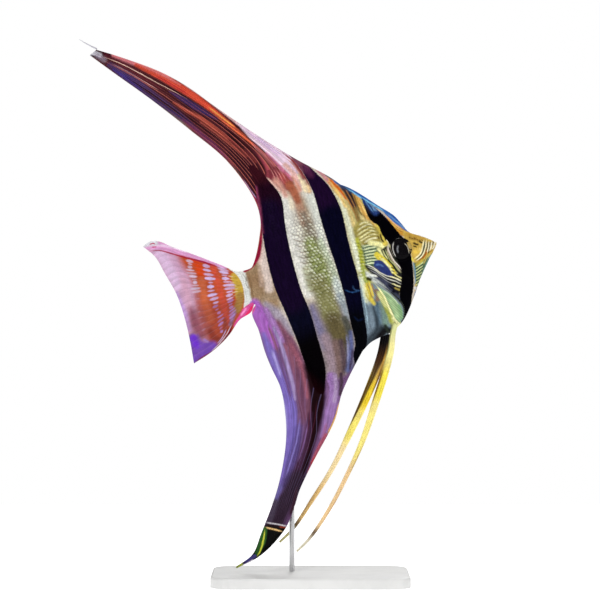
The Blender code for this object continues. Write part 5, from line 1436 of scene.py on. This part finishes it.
# In front of the cheek's rear edge there are no scales.
BARE = [(84.5, 34), (82, 20), (81, 8), (84, -6), (85.5, -14), (84, -24), (80, -50), (130, -50), (130, 40)]
FINE_FIELDS = [  # where scales are small: nape, cheek, fin bases, tail stem and belly
    [(58, 62), (66, 48), (76, 38), (88, 26), (84, 12), (76, 18), (70, 30), (60, 44), (46, 56)],
    [(70, 10), (84, 14), (90, -4), (90, -24), (82, -46), (58, -52), (62, -34), (70, -18), (68, -4)],
    [(14, 46), (58, 46), (58, 62), (40, 70), (10, 66)],
    [(-4, 14), (10, 12), (14, 30), (8, 30), (-4, 20)],
    [(-4, -8), (10, -12), (20, -38), (26, -56), (36, -64), (62, -48), (62, -70), (20, -78), (-8, -30)],
    [(-4, 16), (4, 14), (4, -16), (-4, -16)],
]
GLINTS = [  # where painted highlights lie on the scales, more so the paler the mark
    stroke([(38, 26), (42, 6), (44, -16)], 7, (255, 255, 255), soft=8),
    stroke([(47, 26), (49, 6), (50.6, -14)], 2, (255, 255, 255), soft=3),
    stroke([(40, -10), (44, -26)], 4, (120, 120, 120), soft=8),
    stroke([(68, 8), (67, -10)], 3, (170, 170, 170), soft=5),
]


def lie(x, z):
    """Which way scales point on the side view: to the tail, and along the rays near the fins."""
    turn = -0.5 * ease(z, 26, 60) * ease(x, 70, 30) + 0.7 * ease(-z, 24, 62)
    return math.pi + turn


def roots(flank, spacing, fine, seed):
    """Staggered places for scales of one size, where they belong."""
    along, across = spacing
    rows = np.arange(-84, 84, across)
    places = []
    for k, z in enumerate(rows):
        x = np.arange(-3, 90, along) + (k % 2) * along / 2
        places.append(np.column_stack([x, np.full(len(x), z)]))
    places = np.vstack(places)
    places += np.random.default_rng(seed).normal(0, JITTER, places.shape)
    x, z = places.T
    is_fine = np.zeros(len(x), bool)
    for outline in FINE_FIELDS:
        is_fine |= off_route(outline, x, z, closed=True)[0] > 0
    keep = is_fine == fine
    keep &= off_route(BARE, x, z, closed=True)[0] < 0
    keep &= off_route(SHEATH, x, z, closed=True)[0] > 0
    return places[keep & ~np.isnan(flank.at(x, z))]


def scales(flank, sign, side, finish):
    """Thousands of thin overlapping scales on one side of the fish, in a few pieces."""
    rng = np.random.default_rng(7)
    a, b = np.meshgrid(np.linspace(-1, 1, SCALE_SIDE), np.linspace(-1, 1, SCALE_SIDE), indexing="ij")
    a, b = a.ravel(), b.ravel()
    down, wide = a * np.sqrt(1 - b**2 / 2), b * np.sqrt(1 - a**2 / 2)  # a square's grid made round
    batches = []
    for spacing, fine, seed in ((COARSE, False, 1), (FINE, True, 2)):
        places = roots(flank, spacing, fine, seed)
        count = len(places)
        size = 1 + rng.normal(0, 0.03, (count, 1))
        turn = lie(places[:, :1], places[:, 1:]) + rng.normal(0, 0.05, (count, 1))
        reach, width = down[None] * size * spacing[0] * 0.8, wide[None] * size * spacing[1] * 0.64
        x = places[:, :1] + reach * np.cos(turn) - width * np.sin(turn)
        z = places[:, 1:] + reach * np.sin(turn) + width * np.cos(turn)
        depth = flank.at(x, z)
        whole = ~np.isnan(depth).any(axis=1)
        whole &= np.ptp(np.nan_to_num(depth), axis=1) < STEEPEST
        chance = rng.random((count, 1))
        lift = (-0.1 + 0.13 * (1 + down[None])) * (0.75 if fine else 1.0) + 0.03 * (chance - 0.5)
        crown = 0.09 * (1 - (a**2) * (b**2)) * (0.4 + 0.6 * (1 - np.hypot(down, wide) ** 4))
        rim = ease(np.hypot(down, wide), 0.55, 1.0) * ease(down, -0.4, 0.2)
        batches.append([v[whole] for v in (x, z, depth + lift, np.broadcast_to(crown, x.shape),
                                           np.broadcast_to(rim, x.shape),
                                           np.broadcast_to(chance, x.shape), places)])
    x, z, depth, crown, rim, chance, places = (np.vstack(parts) for parts in zip(*batches))
    order = np.argsort(places[:, 0])
    groups = np.array_split(order, math.ceil(len(order) * len(scale_faces()) * 2 / PIECE_FACES))
    for number, group in enumerate(groups):
        piece_of_scales(f"scales_{side}_{number}", sign, finish, x[group], z[group], depth[group],
                        crown[group], rim[group], chance[group], places[group], down, wide)


def scale_faces():
    """Faces of one scale: its outer grid, its inner grid and its edge."""
    return np.vstack(two_sided(SCALE_SIDE, SCALE_SIDE))


def piece_of_scales(name, sign, finish, x, z, depth, crown, rim, chance, places, down, wide):
    """One piece of the coat. x, z, depth, crown, rim and chance have a row for each scale and a column
    for each point of its grid, down and wide are that grid's own places, and places are the roots."""
    count, per = x.shape
    outer = np.stack([x, sign * (depth + crown), z], axis=2)
    inner = np.stack([x, sign * (depth - SCALE_THICKNESS), z], axis=2)
    points = np.concatenate([outer, inner], axis=1).reshape(-1, 3)
    faces = (scale_faces()[None] + (np.arange(count) * 2 * per)[:, None, None]).reshape(-1, 4)
    canvas = Canvas(x.ravel(), z.ravel())
    # painted highlights: where GLINTS reach, the middles of some scales turn pale in the shader, and the
    # scales' rims are drawn darker there
    glint = np.zeros((x.size, 3))
    paint(glint, GLINTS, canvas.x, canvas.z)
    glint = glint[:, 0]
    highlight_spot = np.tile(np.exp(-(((down - wide) / 1.0) ** 2 + ((down + wide) / 0.36) ** 2)), count)
    bright = (1.9 * chance.ravel() - 0.35).clip(0, 1)  # the painted highlights of some scales stay dull
    canvas.scale = np.column_stack([rim.ravel() * (0.25 + 0.75 * glint), chance.ravel(),
                                    glint * highlight_spot * bright])
    doubled = {key: np.concatenate([value.reshape(count, per, 3)] * 2, axis=1).reshape(-1, 3)
               for key, value in canvas.attributes().items()}
    root = unwrap_place(places, sign)
    patch_of_scale = np.column_stack([down, wide]) * SCALE_PATCH
    uv = np.concatenate([root[:, None] + patch_of_scale[None]] * 2, axis=1).reshape(-1, 2)
    add_piece(name, points, [faces], finish, doubled, uv)


def unwrap_place(places, sign):
    """Where places on the side view lie on the skin's unwrap: by their share of the way from tail to
    lips and their level between belly and back."""
    count, length = 400, 112  # points on each outline, and about the body's length
    back, belly = smooth(BACK, count), smooth(BELLY, count)
    share = np.linspace(0, 1, count)
    x, z = places.T
    u = np.interp(x, (back[:, 0] + belly[:, 0]) / 2, share)
    for _ in range(6):  # the lines from belly to back lean, so the share is refined at the point's level
        low = np.stack([np.interp(u, share, belly[:, k]) for k in (0, 1)], axis=1)
        high = np.stack([np.interp(u, share, back[:, k]) for k in (0, 1)], axis=1)
        level = np.clip((z - low[:, 1]) / np.maximum(high[:, 1] - low[:, 1], 1e-6), 0, 1)
        u = np.clip(u + (x - low[:, 0] - (high[:, 0] - low[:, 0]) * level) / length, 0, 1)
    return np.column_stack([0.01 + 0.48 * u + (0.5 if sign > 0 else 0), 0.02 + 0.96 * level])


# ---------------------------------------------------------------- camera, light and floor, in metres
CAMERA_PLACE, CAMERA_LENS, SENSOR = (0.0241, -1.6, 0.1602), 169.3, 36
LIT_CENTRE = (0.02, 0, 0.17)
LAMPS = [("key", (-0.6, -1.1, 0.9), 8.5, 0.5), ("fill", (1.3, -0.7, 0.5), 5, 0.5),
         ("back", (0.3, 1.2, 0.9), 8, 0.8), ("top", (0.0, 0.0, 1.4), 6, 0.9)]
WHITE_ROOM_FILL = 0.2
FLOOR_SIDE, FLOOR_GLOW = 1.2, 0.55


def camera():
    """Square to the fish's right side, and level."""
    data = bpy.data.cameras.new("camera")
    data.lens, data.sensor_width = CAMERA_LENS, SENSOR
    made = bpy.data.objects.new("camera", data)
    made.location = CAMERA_PLACE
    made.rotation_euler = (math.pi / 2, 0, 0)
    bpy.context.scene.collection.objects.link(made)
    bpy.context.scene.camera = made


def lamp(name, place, power, size):
    """A square soft light, turned to the middle of the fish."""
    data = bpy.data.lights.new(name, "AREA")
    data.energy, data.size = power, size
    made = bpy.data.objects.new(name, data)
    made.location = place
    made.rotation_euler = (Vector(LIT_CENTRE) - Vector(place)).to_track_quat("-Z", "Y").to_euler()
    bpy.context.scene.collection.objects.link(made)


def studio():
    """Plain soft light, a white room and a pale floor."""
    bpy.context.scene.view_settings.view_transform = "Standard"
    world = bpy.data.worlds.new("white_room")
    bpy.context.scene.world = world
    world.use_nodes = True
    nodes, links = world.node_tree.nodes, world.node_tree.links
    fill, backdrop = nodes["Background"], nodes.new("ShaderNodeBackground")
    for background, strength in ((fill, WHITE_ROOM_FILL), (backdrop, 1.0)):
        background.inputs["Color"].default_value = (1, 1, 1, 1)
        background.inputs["Strength"].default_value = strength
    mix, path = nodes.new("ShaderNodeMixShader"), nodes.new("ShaderNodeLightPath")
    links.new(path.outputs["Is Camera Ray"], mix.inputs[0])
    links.new(fill.outputs[0], mix.inputs[1])
    links.new(backdrop.outputs[0], mix.inputs[2])
    links.new(mix.outputs[0], nodes["World Output"].inputs["Surface"])
    for values in LAMPS:
        lamp(*values)

    bpy.ops.mesh.primitive_plane_add(size=FLOOR_SIDE)
    floor = bpy.context.object
    floor.name = "floor"
    g = Graph("floor")
    cloud = g.noise(g.place_on_object(), 3, 2)
    g.shade(Base_Color=g.mixed(cloud, (0.9, 0.9, 0.9, 1), (0.94, 0.94, 0.94, 1)), Roughness=0.9,
            Emission_Color=(1, 1, 1, 1), Emission_Strength=FLOOR_GLOW)
    floor.data.materials.append(g.material)


def stand():
    """The base and rod are shown as the solids they are."""
    for node, finish in (("stand_base", base_finish()), ("stand_rod", rod_finish())):
        frame["nodes"][node].material_slots[0].material = finish


def main():
    camera()
    studio()
    stand()
    skin_finish = painted_finish("fish_skin", streaks=0.16, roughness=0.4)
    fin_finish = painted_finish("fin_membrane", streaks=0.25, roughness=0.42)
    tail_finish = painted_finish("tail_membrane", streaks=0.1, roughness=0.42)
    scale_finish = painted_finish("fish_scales", streaks=0.14, roughness=0.34, scaled=True)
    body = skin(skin_finish)
    dorsal_fin(fin_finish)
    anal_fin(fin_finish)
    tail_fin(tail_finish)
    pectoral_fins(fin_finish)
    feelers(fin_finish)
    eyes(eye_finish())
    objects = bpy.data.objects
    for side, sign in (("right", -1), ("left", 1)):
        flank = Flank([body, objects["dorsal_fin_rayed"], objects["anal_fin_rayed"]], sign)
        scales(flank, sign, side, scale_finish)


main()
